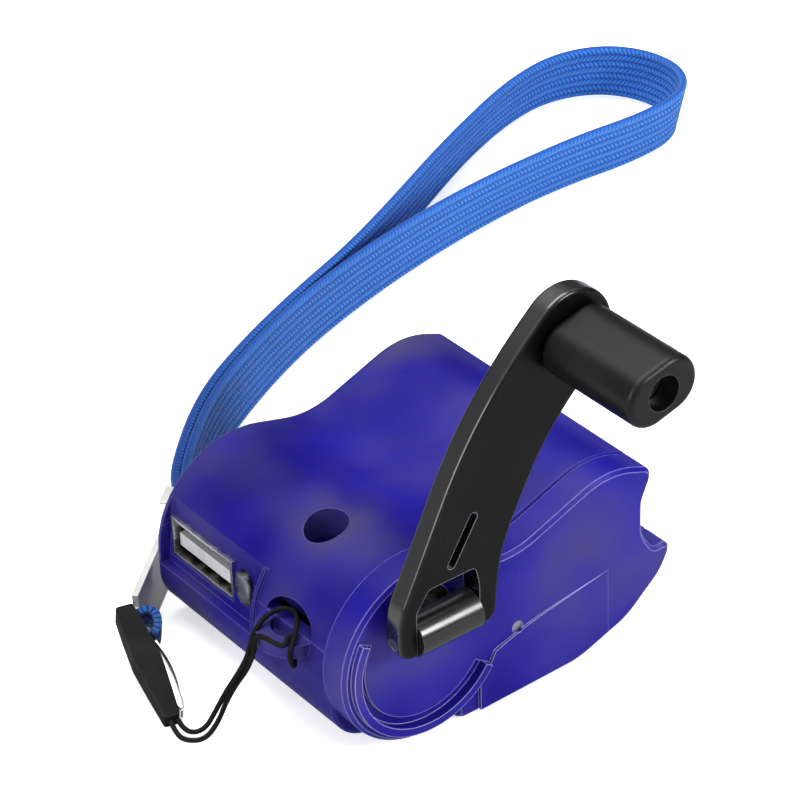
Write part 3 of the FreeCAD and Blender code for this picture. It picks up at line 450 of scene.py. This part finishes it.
@dataclass(frozen=True)
class Metal:
    """Plated or turned metal with a fine grain and uneven gloss, and painted shade deep inside where it is a
    socket.
    """

    finish: Finish
    colour: Colour
    rough: float = 0.25
    rough_spread: float = 0.07
    grain_scale: float = 7000.0
    grain_strength: float = 0.08
    patch_scale: float = 140.0
    gloss_scale: float = 320.0
    dull_share: float = 0.8
    socket_shade_from: float | None = None
    socket_shade_over: float = 1.2 * MM
    socket_shade_colour: Colour = (0.012, 0.012, 0.012)

    def build(self, effects: EffectLibrary) -> bpy.types.Material:
        """Make the material.

        Args:
            effects: the shared effects.

        Returns:
            The material.
        """
        material, tree, shader = new_material(self.finish.value)
        dull = tuple(self.dull_share * part for part in self.colour)
        colour = mix_node(tree, Mix.COLOUR, effects.vary(tree, self.patch_scale), dull, self.colour)
        # Painted shade: past a place along X the metal goes to a dark colour, standing in for the shade deep
        # in the socket.
        if self.socket_shade_from is not None:
            span = (self.socket_shade_from, self.socket_shade_from + self.socket_shade_over)
            socket_shade = map_range(tree, coordinate(tree, "Object", "X"), span)
            colour = mix_node(tree, Mix.COLOUR, socket_shade, colour, self.socket_shade_colour)
        tree.links.new(colour, shader.inputs["Base Color"])
        rough = effects.vary(tree, self.gloss_scale, self.rough - self.rough_spread,
                             self.rough + self.rough_spread)
        tree.links.new(rough, shader.inputs["Roughness"])
        grain = add_group(tree, effects.grain, Scale=self.grain_scale, Strength=self.grain_strength)
        tree.links.new(grain.outputs["Normal"], shader.inputs["Normal"])
        shader.inputs["Metallic"].default_value = 1.0
        return material


@dataclass(frozen=True)
class Webbing:
    """Flat braid: lengthwise plaits of slanted stitches, drawn on the tape's own map in millimetres, with
    painted shade between the threads and towards the case.
    """

    finish: Finish
    light: Colour
    dark: Colour
    plait_pitch: float = 1.25
    stitch_pitch: float = 0.74
    slant: float = 0.62
    thread_floor: float = 0.001
    crown_power: float = 0.7
    stitch_power: float = 0.5
    seam_slope: float = 5.0
    seam_floor: float = 0.5
    bump_depth: float = 0.22 * MM
    fade_scale: float = 70.0
    fade_span: tuple[float, float] = (0.88, 0.98)
    fibre_scale: float = 2600.0
    fibre_span: tuple[float, float] = (0.88, 1.0)
    case_shade_from: float = -20.0 * MM
    case_shade_to: float = 60.0 * MM
    case_shade_tint: Colour = (0.3, 0.46, 0.55)
    rough: float = 0.75
    specular: float = 0.3
    sheen: float = 0.12
    sheen_rough: float = 0.4

    def _raised(self, tree: bpy.types.NodeTree, value: bpy.types.NodeSocket,
                power: float) -> bpy.types.NodeSocket:
        """Power of a value that stays a little above nothing."""
        return math_node(tree, "POWER", math_node(tree, "MAXIMUM", value, self.thread_floor), power)

    def _height(self, tree: bpy.types.NodeTree) -> bpy.types.NodeSocket:
        """Height of the threads, from 0 between them to 1 on their crowns.

        Args:
            tree: the material's node tree.

        Returns:
            The height's socket.
        """
        mapped = tree.nodes.new("ShaderNodeUVMap")
        mapped.uv_map = TAPE_MAP
        parts = tree.nodes.new("ShaderNodeSeparateXYZ")
        tree.links.new(mapped.outputs["UV"], parts.inputs[0])
        plait = math_node(tree, "MULTIPLY", parts.outputs["Y"], 1.0 / self.plait_pitch)
        zigzag = math_node(tree, "PINGPONG", plait, 1.0)
        inside = math_node(tree, "MULTIPLY", math_node(tree, "PINGPONG", plait, 0.5), 2.0)
        slanted = math_node(tree, "MULTIPLY", zigzag, 2.0 * self.slant)
        step = math_node(tree, "MULTIPLY_ADD", parts.outputs["X"], 1.0 / self.stitch_pitch, slanted)
        wave = math_node(tree, "SINE", math_node(tree, "MULTIPLY", step, 2.0 * math.pi))
        stitch = self._raised(tree, math_node(tree, "MULTIPLY_ADD", wave, 0.5, 0.5), self.stitch_power)
        thread = math_node(tree, "MULTIPLY", stitch, self._raised(tree, inside, self.crown_power))
        seam = math_node(tree, "MINIMUM", math_node(tree, "MULTIPLY", zigzag, self.seam_slope), 1.0)
        seam = math_node(tree, "MULTIPLY_ADD", seam, 1.0 - self.seam_floor, self.seam_floor)
        return math_node(tree, "MULTIPLY", thread, seam)

    def build(self, effects: EffectLibrary) -> bpy.types.Material:
        """Make the material.

        Args:
            effects: the shared effects.

        Returns:
            The material.
        """
        material, tree, shader = new_material(self.finish.value)
        height = self._height(tree)
        bump = tree.nodes.new("ShaderNodeBump")
        set_inputs(bump, {"Strength": 1.0, "Distance": self.bump_depth})
        tree.links.new(height, bump.inputs["Height"])
        tree.links.new(bump.outputs["Normal"], shader.inputs["Normal"])
        fade = effects.vary(tree, self.fade_scale, *self.fade_span)
        fibre = effects.vary(tree, self.fibre_scale, *self.fibre_span)
        # Painted shade: the colour goes dark between the threads and in the seams, mixed with random fade
        # and fibre tone.
        mask = math_node(tree, "MULTIPLY", height, math_node(tree, "MULTIPLY", fade, fibre))
        thread = mix_node(tree, Mix.COLOUR, mask, self.dark, self.light)
        # Painted shade: the tape is multiplied by a dark tint towards the case, fully at the low end of the
        # X span.
        span = (self.case_shade_from, self.case_shade_to)
        case_shade = map_range(tree, coordinate(tree, "Object", "X"), span, (1.0, 0.0))
        colour = mix_node(tree, Mix.COLOUR, case_shade, thread, self.case_shade_tint, blend="MULTIPLY")
        tree.links.new(colour, shader.inputs["Base Color"])
        set_inputs(shader, {"Roughness": self.rough, "Specular IOR Level": self.specular,
                            "Sheen Weight": self.sheen, "Sheen Roughness": self.sheen_rough})
        return material


RECIPES: tuple[Plastic | Metal | Webbing, ...] = (
    Plastic(Finish.FROSTED_BLUE, (0.014, 0.006, 0.37), (0.003, 0.001, 0.15), rough=0.34, transmission=0.12,
            patch_scale=48.0, specular=0.16, edge_highlight=1.6, edge_highlight_limit=0.3, edge_highlight_colour=(0.3, 0.28, 0.8),
            cloud=(0.06, 0.056, 0.105), cloud_share=0.9, rounding=0.25 * MM),
    Plastic(Finish.FROSTED_COVER, (0.016, 0.007, 0.42), (0.004, 0.001, 0.19), rough=0.34, transmission=0.12,
            patch_scale=52.0, specular=0.16, edge_highlight=6.0, edge_highlight_limit=0.8, edge_highlight_colour=(0.55, 0.53, 0.92),
            cloud=(0.06, 0.056, 0.12), cloud_share=0.75, rounding=0.22 * MM),
    Plastic(Finish.BLACK_ARM, (0.004, 0.004, 0.0045), (0.002, 0.002, 0.0025), rough=0.3, rough_spread=0.05,
            grain_strength=0.12, specular=0.15, side_coat=1.0, edge_highlight=9.0, edge_highlight_limit=0.95,
            edge_highlight_colour=(0.34, 0.34, 0.35)),
    Plastic(Finish.BLACK_MOULDING, (0.008, 0.008, 0.0085), (0.004, 0.004, 0.005), rough=0.34,
            rough_spread=0.06, grain_strength=0.16, specular=0.26, edge_highlight=4.0, edge_highlight_limit=0.9,
            edge_highlight_colour=(0.14, 0.14, 0.145)),
    Plastic(Finish.GLOSS_BLACK, (0.01, 0.01, 0.011), (0.006, 0.006, 0.007), rough=0.24, rough_spread=0.05,
            grain_strength=0.1, specular=0.7, edge_highlight=3.0, edge_highlight_limit=0.9, edge_highlight_colour=(0.12, 0.12, 0.125)),
    Plastic(Finish.BLACK_CLIP, (0.006, 0.007, 0.006), (0.003, 0.003, 0.003), rough=0.6, grain_strength=0.3,
            specular=0.12, edge_highlight=3.0, edge_highlight_colour=(0.08, 0.08, 0.075)),
    Plastic(Finish.GREY_TONGUE, (0.72, 0.72, 0.73), (0.55, 0.55, 0.56), rough=0.3, edge_highlight=0.3, coat=0.4),
    Plastic(Finish.NATURAL_NYLON, (0.82, 0.81, 0.78), (0.72, 0.71, 0.68), rough=0.5),
    Plastic(Finish.SOLDER_RESIST, (0.02, 0.22, 0.07), (0.015, 0.16, 0.05), rough=0.3, coat=0.4),
    Plastic(Finish.COMPONENT_BLACK, (0.02, 0.02, 0.02), (0.014, 0.014, 0.014), rough=0.5),
    Plastic(Finish.CLEAR_EPOXY, (0.86, 0.9, 0.98), (0.78, 0.83, 0.95), rough=0.03, rough_spread=0.01,
            grain_strength=0.03, transmission=1.0, coat=0.8, edge_highlight=0.0, rounding=1.2 * MM, ior=1.55),
    Plastic(Finish.FERRITE, (0.05, 0.05, 0.055), (0.03, 0.03, 0.03), rough=0.55, grain_strength=0.4),
    Plastic(Finish.BLACK_CORD, (0.007, 0.007, 0.008), (0.004, 0.004, 0.004), rough=0.75,
            grain_strength=0.5, specular=0.15),
    Metal(Finish.NICKEL, (0.52, 0.52, 0.5), rough=0.3),
    Metal(Finish.SOCKET_NICKEL, (0.8, 0.8, 0.79), rough=0.26, grain_strength=0.02,
          socket_shade_from=USB_FRONT + 0.5 * MM),
    Metal(Finish.PALE_PLATE, (0.9, 0.9, 0.88), rough=0.48),
    Metal(Finish.ZINC, (0.66, 0.67, 0.69), rough=0.32),
    Metal(Finish.GROUND_STEEL, (0.58, 0.58, 0.58), rough=0.28),
    Metal(Finish.LAMINATION, (0.3, 0.3, 0.31), rough=0.42),
    Metal(Finish.DARK_STEEL, (0.16, 0.16, 0.17), rough=0.4),
    Metal(Finish.TURNED_BRASS, (0.8, 0.6, 0.28), rough=0.25),
    Metal(Finish.GOLD_PLATE, (0.95, 0.7, 0.3), rough=0.18),
    Metal(Finish.COPPER, (0.78, 0.36, 0.18), rough=0.3),
    Webbing(Finish.AZURE_WEBBING, (0.055, 0.32, 0.96), (0.008, 0.065, 0.34)),
    Webbing(Finish.SHADED_WEBBING, (0.022, 0.14, 0.5), (0.002, 0.013, 0.08), case_shade_from=-90.0 * MM,
            case_shade_to=-80.0 * MM),
)

FINISHED_NODES: dict[Finish, tuple[str, ...]] = {
    Finish.FROSTED_BLUE: ("upper_shell", "lower_shell"),
    Finish.FROSTED_COVER: ("crank_side_cover",),
    Finish.BLACK_ARM: ("crank_arm",),
    Finish.BLACK_MOULDING: ("crank_knob", "crank_bush"),
    Finish.GLOSS_BLACK: ("crank_hub",),
    Finish.BLACK_CLIP: ("connector_clip",),
    Finish.GREY_TONGUE: ("usb_tongue",),
    Finish.NATURAL_NYLON: ("gear_plate", "crank_gear", "first_idler", "second_idler"),
    Finish.SOLDER_RESIST: ("circuit_board",),
    Finish.COMPONENT_BLACK: ("rectifier_diodes", "regulator_chip", "storage_inductor",
                             "smoothing_capacitor"),
    Finish.CLEAR_EPOXY: ("charge_led",),
    Finish.FERRITE: ("rotor_magnet",),
    Finish.NICKEL: ("clip_spring",),
    Finish.SOCKET_NICKEL: ("usb_shell",),
    Finish.PALE_PLATE: ("strap_crimp",),
    Finish.ZINC: ("cover_screws", "case_screws", "knob_screw", "led_legs"),
    Finish.GROUND_STEEL: ("hinge_pin", "idler_axles", "rotor_shaft", "crank_clip"),
    Finish.LAMINATION: ("stator_core",),
    Finish.DARK_STEEL: ("generator_can",),
    Finish.TURNED_BRASS: ("rotor_pinion", "rotor_bearing"),
    Finish.GOLD_PLATE: ("usb_contacts",),
    Finish.COPPER: ("stator_coils",),
}


class Finishes:
    """Every finish of the charger, built once."""

    def __init__(self) -> None:
        """Build the materials."""
        effects = EffectLibrary()
        self._made = {recipe.finish: recipe.build(effects) for recipe in RECIPES}

    def dress(self, piece: bpy.types.Object, finish: Finish) -> None:
        """Give a piece one finish all over.

        Args:
            piece: the object.
            finish: the finish.
        """
        piece.data.materials.clear()
        piece.data.materials.append(self._made[finish])


# ---------------------------------------------------------------- modelling helpers
def select_only(piece: bpy.types.Object) -> None:
    """Make one object the only selected and active one."""
    bpy.ops.object.select_all(action="DESELECT")
    piece.select_set(True)
    bpy.context.view_layer.objects.active = piece


def nurbs_curve(name: str, route: Sequence[Point], resolution: int) -> bpy.types.Object:
    """Make a curve object of one NURBS spline.

    Args:
        name: the object's name.
        route: the control points, in metres.
        resolution: points for each control point.

    Returns:
        The curve object, linked to the scene.
    """
    data = bpy.data.curves.new(name, "CURVE")
    data.dimensions = "3D"
    data.resolution_u = resolution
    spline = data.splines.new("NURBS")
    spline.points.add(len(route) - 1)
    for point, place in zip(spline.points, route):
        point.co = (*place, 1.0)
    spline.order_u = SPLINE_ORDER
    spline.use_endpoint_u = True
    curve = bpy.data.objects.new(name, data)
    bpy.context.scene.collection.objects.link(curve)
    return curve


def spline_points(route: Sequence[Point], resolution: int) -> list[Vector]:
    """Follow a route as a smooth line.

    Args:
        route: the control points, in metres.
        resolution: points for each control point.

    Returns:
        The points of the NURBS spline.
    """
    guide = nurbs_curve("route_guide", route, resolution)
    mesh = bpy.data.meshes.new_from_object(guide)
    points = [vertex.co.copy() for vertex in mesh.vertices]
    bpy.data.objects.remove(guide)
    bpy.data.meshes.remove(mesh)
    return points


def travelled(line: Sequence[Vector]) -> list[float]:
    """Measure a line.

    Args:
        line: the line's points, in metres.

    Returns:
        The line's length up to each of its points, in metres.
    """
    reach = [0.0]
    for before, here in zip(line, line[1:]):
        reach.append(reach[-1] + (here - before).length)
    return reach


def round_edges(piece: bpy.types.Object, width: float, segments: int = 3) -> None:
    """Round the active object's sharp edges.

    Args:
        piece: the object.
        width: the bevel's width, in metres.
        segments: the bevel's segments.
    """
    soft = piece.modifiers.new("soft", "BEVEL")
    soft.width = width
    soft.segments = segments
    bpy.ops.object.modifier_apply(modifier="soft")


def on_clip(piece: bpy.types.Object) -> None:
    """Set a piece onto the clip, and smooth it.

    Args:
        piece: the object, drawn in the clip's own frame: along it, to its side and up.
    """
    near, far = Vector(CLIP_NEAR) * MM, Vector(CLIP_FAR) * MM
    along = (far - near).normalized()
    side = Vector((-along.y, along.x, 0.0)).normalized()
    frame = Matrix((along, side, along.cross(side))).transposed().to_4x4()
    piece.matrix_world = Matrix.Translation(near) @ frame @ piece.matrix_world
    select_only(piece)
    bpy.ops.object.transform_apply(location=True, rotation=True, scale=True)
    bpy.ops.object.shade_smooth_by_angle(angle=CLIP_SMOOTH)


# ---------------------------------------------------------------- strap, cord and clip
@dataclass
class WristStrap:
    """Woven tape folded in two, with both ends in the crimp, standing on its edge."""

    finishes: Finishes
    width: float = 10.0 * MM
    thickness: float = 1.2 * MM
    thinnest: float = 0.02 * MM
    ribs: int = 8
    rib_steps: int = 6
    rib_height: float = 0.16 * MM
    rib_power: float = 0.7
    middle: float = 5.2 * MM
    lean: float = math.radians(16.0)
    lean_from: float = 5.0
    lean_over: float = 70.0
    smooth: float = math.radians(60.0)
    resolution: int = 24
    route: tuple[PlanPoint, ...] = (
        (-18.6, 27.4), (-16.0, 29.65), (-13.6, 34.1), (-2.0, 45.3), (10.0, 52.6), (23.0, 58.9), (37.0, 63.6),
        (52.0, 67.2), (67.0, 69.5), (82.0, 70.3), (94.5, 69.2), (104.4, 70.4), (109.6, 76.2), (109.6, 84.0),
        (105.4, 90.4), (97.4, 93.2), (87.6, 91.4), (76.0, 86.6), (63.0, 80.0), (50.0, 72.8), (37.0, 66.1),
        (23.0, 60.3), (10.0, 54.1), (-2.5, 46.7), (-14.6, 34.9), (-17.0, 30.45), (-19.4, 28.35))

    def _up(self, x: float) -> Vector:
        """Direction across the tape at a place along X, leaning to the front towards the loop."""
        lean = self.lean * min(1.0, max(0.0, (x / MM - self.lean_from) / self.lean_over))
        return Vector((0.0, -math.sin(lean), math.cos(lean))).normalized()

    def _section(self) -> list[tuple[float, float]]:
        """Cross-section round the tape, with ribs on both faces.

        Returns:
            Its corners, as places across the tape and out of its middle.
        """
        steps = self.ribs * self.rib_steps
        points = []
        for side in (1, -1):
            for i in range(steps + 1):
                share = i / steps
                across = (share - 0.5) * self.width * side
                edge = min(share, 1 - share) * self.width / (self.thickness * 0.5)
                flat = math.sqrt(max(0.0, 1 - (1 - min(1.0, edge)) ** 2))
                rib = abs(math.sin(math.pi * self.ribs * share)) ** self.rib_power
                out = (self.thickness / 2 - self.rib_height) * flat + self.rib_height * rib * flat
                points.append((across, side * max(out, self.thinnest)))
        return points

    def _vertices(self, line: list[Vector], section: list[tuple[float, float]]) -> list[Vector]:
        """Corners of the tape, section by section along its line.

        Args:
            line: the points of the tape's middle line.
            section: the corners of its cross-section.

        Returns:
            The corners' places.
        """
        vertices = []
        for i, here in enumerate(line):
            ahead = line[min(i + 1, len(line) - 1)] - line[max(i - 1, 0)]
            ahead.z = 0
            ahead.normalize()
            up = self._up(here.x)
            out = ahead.cross(up).normalized()
            for across, thick in section:
                vertices.append(here + up * across + out * thick)
        return vertices

    @staticmethod
    def _faces(rows: int, count: int) -> list[tuple[int, ...]]:
        """Faces between the sections, and one that closes each end.

        Args:
            rows: how many sections there are.
            count: how many corners a section has.

        Returns:
            The faces, as vertex numbers.
        """
        faces: list[tuple[int, ...]] = []
        for i in range(rows - 1):
            for j in range(count):
                k = (j + 1) % count
                faces.append((i * count + j, i * count + k, (i + 1) * count + k, (i + 1) * count + j))
        faces.append(tuple(range(count)))
        faces.append(tuple((rows - 1) * count + j for j in reversed(range(count))))
        return faces

    def _map(self, mesh: bpy.types.Mesh, reach: list[float], section: list[tuple[float, float]]) -> None:
        """Map the tape in millimetres, along its line and across.

        Args:
            mesh: the tape's mesh.
            reach: the line's length up to each section.
            section: the corners of the cross-section.
        """
        layer = mesh.uv_layers.new(name=TAPE_MAP)
        for loop in mesh.loops:
            row, column = divmod(loop.vertex_index, len(section))
            across = section[column][0] + self.width / 2
            layer.data[loop.index].uv = (reach[row] / MM, across / MM)

    def build(self) -> bpy.types.Object:
        """Make the tape.

        Returns:
            The strap.
        """
        line = spline_points([(x * MM, y * MM, self.middle) for x, y in self.route], self.resolution)
        section = self._section()
        reach = travelled(line)
        mesh = bpy.data.meshes.new("wrist_tape")
        mesh.from_pydata(self._vertices(line, section), [], self._faces(len(line), len(section)))
        self._map(mesh, reach, section)
        strap = bpy.data.objects.new("wrist_tape", mesh)
        bpy.context.scene.collection.objects.link(strap)
        select_only(strap)
        bpy.ops.object.mode_set(mode="EDIT")
        bpy.ops.mesh.select_all(action="SELECT")
        bpy.ops.mesh.normals_make_consistent(inside=False)
        bpy.ops.object.mode_set(mode="OBJECT")
        bpy.ops.object.shade_smooth_by_angle(angle=self.smooth)
        self.finishes.dress(strap, Finish.AZURE_WEBBING)
        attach(strap, Body.CASE.value)
        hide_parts("wrist_strap")
        return strap


@dataclass
class StrapFold:
    """End of the strap's tape, folded back out of the clip's side."""

    finishes: Finishes
    thickness: float = 1.0 * MM
    low: float = -2.2 * MM
    high: float = 1.1 * MM
    rounding: float = 0.25 * MM
    merge: float = 1e-6
    resolution: int = 6
    fold: tuple[PlanPoint, ...] = ((1.4, 1.3), (0.9, 2.6), (2.0, 3.6), (3.6, 3.3), (4.8, 2.6), (4.9, 1.9))

    def build(self) -> bpy.types.Object:
        """Make the fold: an edge drawn out along its line, thickened and rounded.

        Returns:
            The folded end.
        """
        line = spline_points([(x * MM, y * MM, 0.0) for x, y in self.fold], self.resolution)
        bpy.ops.mesh.primitive_plane_add(size=1.0)
        piece = bpy.context.object
        piece.name = "strap_end_fold"
        bpy.ops.object.mode_set(mode="EDIT")
        bpy.ops.mesh.select_all(action="SELECT")
        bpy.ops.transform.rotate(value=math.pi / 2, orient_axis="X", center_override=(0.0, 0.0, 0.0))
        bpy.ops.transform.resize(value=(0.0, 1.0, self.high - self.low))
        bpy.ops.mesh.remove_doubles(threshold=self.merge)
        bpy.ops.mesh.select_all(action="SELECT")
        bpy.ops.transform.translate(value=line[0] + Vector((0, 0, (self.high + self.low) / 2)))
        for before, here in zip(line, line[1:]):
            bpy.ops.mesh.extrude_region_move(TRANSFORM_OT_translate={"value": here - before})
        bpy.ops.object.mode_set(mode="OBJECT")
        thick = piece.modifiers.new("thick", "SOLIDIFY")
        thick.thickness = self.thickness
        thick.offset = 0.0
        bpy.ops.object.modifier_apply(modifier="thick")
        round_edges(piece, self.rounding)
        self._map(piece, line)
        on_clip(piece)
        self.finishes.dress(piece, Finish.SHADED_WEBBING)
        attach(piece, Body.CASE.value)
        return piece

    def _map(self, piece: bpy.types.Object, line: list[Vector]) -> None:
        """Map the fold in millimetres, along its line and across.

        Args:
            piece: the folded end.
            line: the points of its line.
        """
        layer = piece.data.uv_layers.new(name=TAPE_MAP)
        reach = travelled(line)
        for loop in piece.data.loops:
            place = piece.data.vertices[loop.vertex_index].co
            flat = Vector((place.x, place.y, 0.0))
            nearest = min(range(len(line)), key=lambda i: (line[i] - flat).length)
            layer.data[loop.index].uv = (reach[nearest] / MM, (place.z - self.low) / MM)


@dataclass
class ClipLiner:
    """Thin steel plate between the clip and its spring leaf."""

    finishes: Finishes
    middle: Point = (11.8 * MM, 1.45 * MM, 0.3 * MM)
    half_length: float = 5.2 * MM
    half_width: float = 0.8 * MM
    thickness: float = 0.5 * MM
    rounding: float = 0.12 * MM
    corners: int = 48

    def build(self) -> bpy.types.Object:
        """Make the plate.

        Returns:
            The plate.
        """
        bpy.ops.mesh.primitive_circle_add(vertices=self.corners, radius=1.0, fill_type="NGON")
        piece = bpy.context.object
        piece.name = "clip_liner"
        bpy.ops.object.mode_set(mode="EDIT")
        bpy.ops.mesh.select_all(action="SELECT")
        bpy.ops.transform.resize(value=(self.half_length, self.half_width, 1.0))
        bpy.ops.mesh.extrude_region_move(TRANSFORM_OT_translate={"value": (0.0, 0.0, self.thickness)})
        bpy.ops.mesh.select_all(action="SELECT")
        bpy.ops.mesh.normals_make_consistent(inside=False)
        bpy.ops.transform.translate(value=self.middle)
        bpy.ops.object.mode_set(mode="OBJECT")
        round_edges(piece, self.rounding)
        on_clip(piece)
        self.finishes.dress(piece, Finish.NICKEL)
        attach(piece, Body.CASE.value)
        return piece


@dataclass
class LanyardCord:
    """Thin black cord hitched to the case's eye and running to the clip."""

    finishes: Finishes
    diameter: float = 0.65 * MM
    resolution: int = 10
    bevel_resolution: int = 4
    route: tuple[Point, ...] = (
        (-38.2, 0.4, 1.25), (-38.8, -1.9, 0.9), (-36.7, -3.0, 0.8), (-34.2, -2.3, 2.6), (-33.3, -3.3, 5.4),
        (-32.7, -4.8, 8.2), (-31.3, -5.2, 10.4), (-30.7, -5.3, 12.4), (-29.7, -5.1, 14.0),
        (-28.0, -4.7, 14.8), (-25.9, -4.7, 15.0), (-24.4, -6.0, 15.0), (-25.8, -8.3, 14.9),
        (-27.7, -10.3, 14.9), (-29.3, -11.9, 14.9), (-29.5, -11.6, 13.2), (-28.6, -11.3, 11.2),
        (-27.1, -9.2, 11.1), (-26.5, -8.2, 12.9), (-28.3, -9.9, 14.9), (-29.9, -11.3, 14.9),
        (-30.2, -9.2, 14.7), (-30.6, -7.0, 14.7), (-30.6, -6.1, 13.4), (-30.7, -6.0, 11.6),
        (-31.6, -5.5, 9.0), (-32.5, -4.3, 6.6), (-33.5, -3.2, 3.6), (-34.7, -3.1, 1.2), (-37.7, -4.5, 0.8),
        (-39.6, -3.0, 0.8), (-39.7, -1.2, 1.0), (-39.1, 0.6, 1.25))

    def build(self) -> bpy.types.Object:
        """Make the cord.

        Returns:
            The cord.
        """
        route = [tuple(part * MM for part in point) for point in self.route]
        cord = nurbs_curve("hitch_cord", route, self.resolution)
        cord.data.bevel_depth = self.diameter / 2
        cord.data.bevel_resolution = self.bevel_resolution
        cord.data.use_fill_caps = True
        length = travelled(spline_points(route, self.resolution))[-1]
        self.finishes.dress(cord, Finish.BLACK_CORD)
        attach(cord, Body.CASE.value)
        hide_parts("lanyard_cord")
        return cord


# ---------------------------------------------------------------- studio
@dataclass(frozen=True)
class Lamp:
    """Square soft lamp aimed at the case."""

    name: str
    place: Point
    size: float
    power: float
    aim: Point = (0.0, 0.0, 0.02)

    def build(self) -> None:
        """Make the lamp."""
        data = bpy.data.lights.new(self.name, "AREA")
        data.size = self.size
        data.energy = self.power
        lamp = bpy.data.objects.new(self.name, data)
        lamp.location = self.place
        lamp.rotation_euler = (Vector(self.aim) - Vector(self.place)).to_track_quat("-Z", "Y").to_euler()
        bpy.context.scene.collection.objects.link(lamp)


@dataclass
class Studio:
    """White sweep, soft lamps and the camera."""

    lamps: tuple[Lamp, ...] = (
        Lamp("top_soft", (0.0, 0.1, 0.6), size=0.5, power=3.4),
        Lamp("left_soft", (-0.55, -0.05, 0.25), size=0.3, power=1.3),
        Lamp("front_soft", (0.3, -0.6, 0.35), size=0.25, power=4.0))
    floor_size: float = 6.0
    floor_colour: Colour = (0.9, 0.9, 0.9)
    floor_mirrored: Colour = (0.45, 0.45, 0.46)
    floor_rough: float = 0.9
    floor_glow: float = 0.6
    plain_light: float = 0.42
    mirrored_light: float = 0.1
    ceiling_span: tuple[float, float] = (0.35, 0.9)
    ceiling_light: float = 0.75
    left_wall_span: tuple[float, float] = (0.3, 0.95)
    left_wall_light: float = 0.3
    eye: Point = (-0.20664, -0.27638, 0.25598)
    look_at: Point = (-0.01033, -0.00968, 0.04067)
    roll: float = math.radians(-2.28)
    lens: float = 152.0
    sensor: float = 36.0
    nearest: float = 0.01

    def build(self) -> None:
        """Make the floor, world, lamps and camera."""
        scene = bpy.context.scene
        scene.view_settings.view_transform = "Standard"
        self._floor()
        self._world(scene)
        for lamp in self.lamps:
            lamp.build()
        self._camera(scene)

    def _floor(self) -> None:
        """Pale floor that keeps the shadow and shows white."""
        bpy.ops.mesh.primitive_plane_add(size=self.floor_size, location=(0, 0, 0))
        floor = bpy.context.object
        floor.name = "floor"
        material, tree, shader = new_material("studio_floor")
        shader.inputs["Roughness"].default_value = self.floor_rough
        path = tree.nodes.new("ShaderNodeLightPath")
        colour = mix_node(tree, Mix.COLOUR, path.outputs["Is Glossy Ray"], self.floor_colour,
                          self.floor_mirrored)
        tree.links.new(colour, shader.inputs["Base Color"])
        glow = math_node(tree, "MULTIPLY", path.outputs["Is Camera Ray"], self.floor_glow)
        shader.inputs["Emission Color"].default_value = (1, 1, 1, 1)
        tree.links.new(glow, shader.inputs["Emission Strength"])
        floor.data.materials.append(material)

    def _world(self, scene: bpy.types.Scene) -> None:
        """White surroundings, which polished faces see as a bright ceiling over darker walls.

        Args:
            scene: the scene that gets them.
        """
        world = bpy.data.worlds.new("studio")
        world.use_nodes = True
        tree = world.node_tree
        path = tree.nodes.new("ShaderNodeLightPath")
        ceiling = map_range(tree, coordinate(tree, "Generated", "Z"), self.ceiling_span,
                            (0.0, self.ceiling_light), smooth=True)
        left = math_node(tree, "MULTIPLY", coordinate(tree, "Generated", "X"), -1.0)
        left_wall = map_range(tree, left, self.left_wall_span, (0.0, self.left_wall_light), smooth=True)
        mirrored = math_node(tree, "ADD", math_node(tree, "ADD", ceiling, left_wall), self.mirrored_light)
        around = mix_node(tree, Mix.NUMBER, path.outputs["Is Glossy Ray"], self.plain_light, mirrored)
        direct = math_node(tree, "MAXIMUM", path.outputs["Is Camera Ray"],
                           path.outputs["Is Transmission Ray"])
        background = tree.nodes["Background"]
        background.inputs["Color"].default_value = (1, 1, 1, 1)
        tree.links.new(math_node(tree, "MAXIMUM", around, direct), background.inputs["Strength"])
        scene.world = world

    def _camera(self, scene: bpy.types.Scene) -> None:
        """Camera above the socket end, looking down on the crank side.

        Args:
            scene: the scene that gets it.
        """
        data = bpy.data.cameras.new("view")
        data.lens = self.lens
        data.sensor_width = self.sensor
        data.clip_start = self.nearest
        camera = bpy.data.objects.new("view", data)
        aim = (Vector(self.look_at) - Vector(self.eye)).to_track_quat("-Z", "Y").to_matrix().to_4x4()
        camera.matrix_world = Matrix.Translation(self.eye) @ aim @ Matrix.Rotation(self.roll, 4, "Z")
        scene.collection.objects.link(camera)
        scene.camera = camera


# ---------------------------------------------------------------- main
def main() -> None:
    """Set the studio, dress the frame and add the strap, the fold, the liner and the cord."""
    logging.basicConfig(level=logging.INFO, format="%(name)s: %(message)s")
    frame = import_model()
    bpy.ops.object.select_all(action="DESELECT")
    Studio().build()
    finishes = Finishes()
    for finish, nodes in FINISHED_NODES.items():
        for node in nodes:
            finishes.dress(frame["nodes"][node], finish)
            LOG.info("node %s: %s", node, finish.value)
    for maker in (WristStrap(finishes), StrapFold(finishes), ClipLiner(finishes), LanyardCord(finishes)):
        LOG.info("piece %s", maker.build().name)


if __name__ == "__main__":
    main()
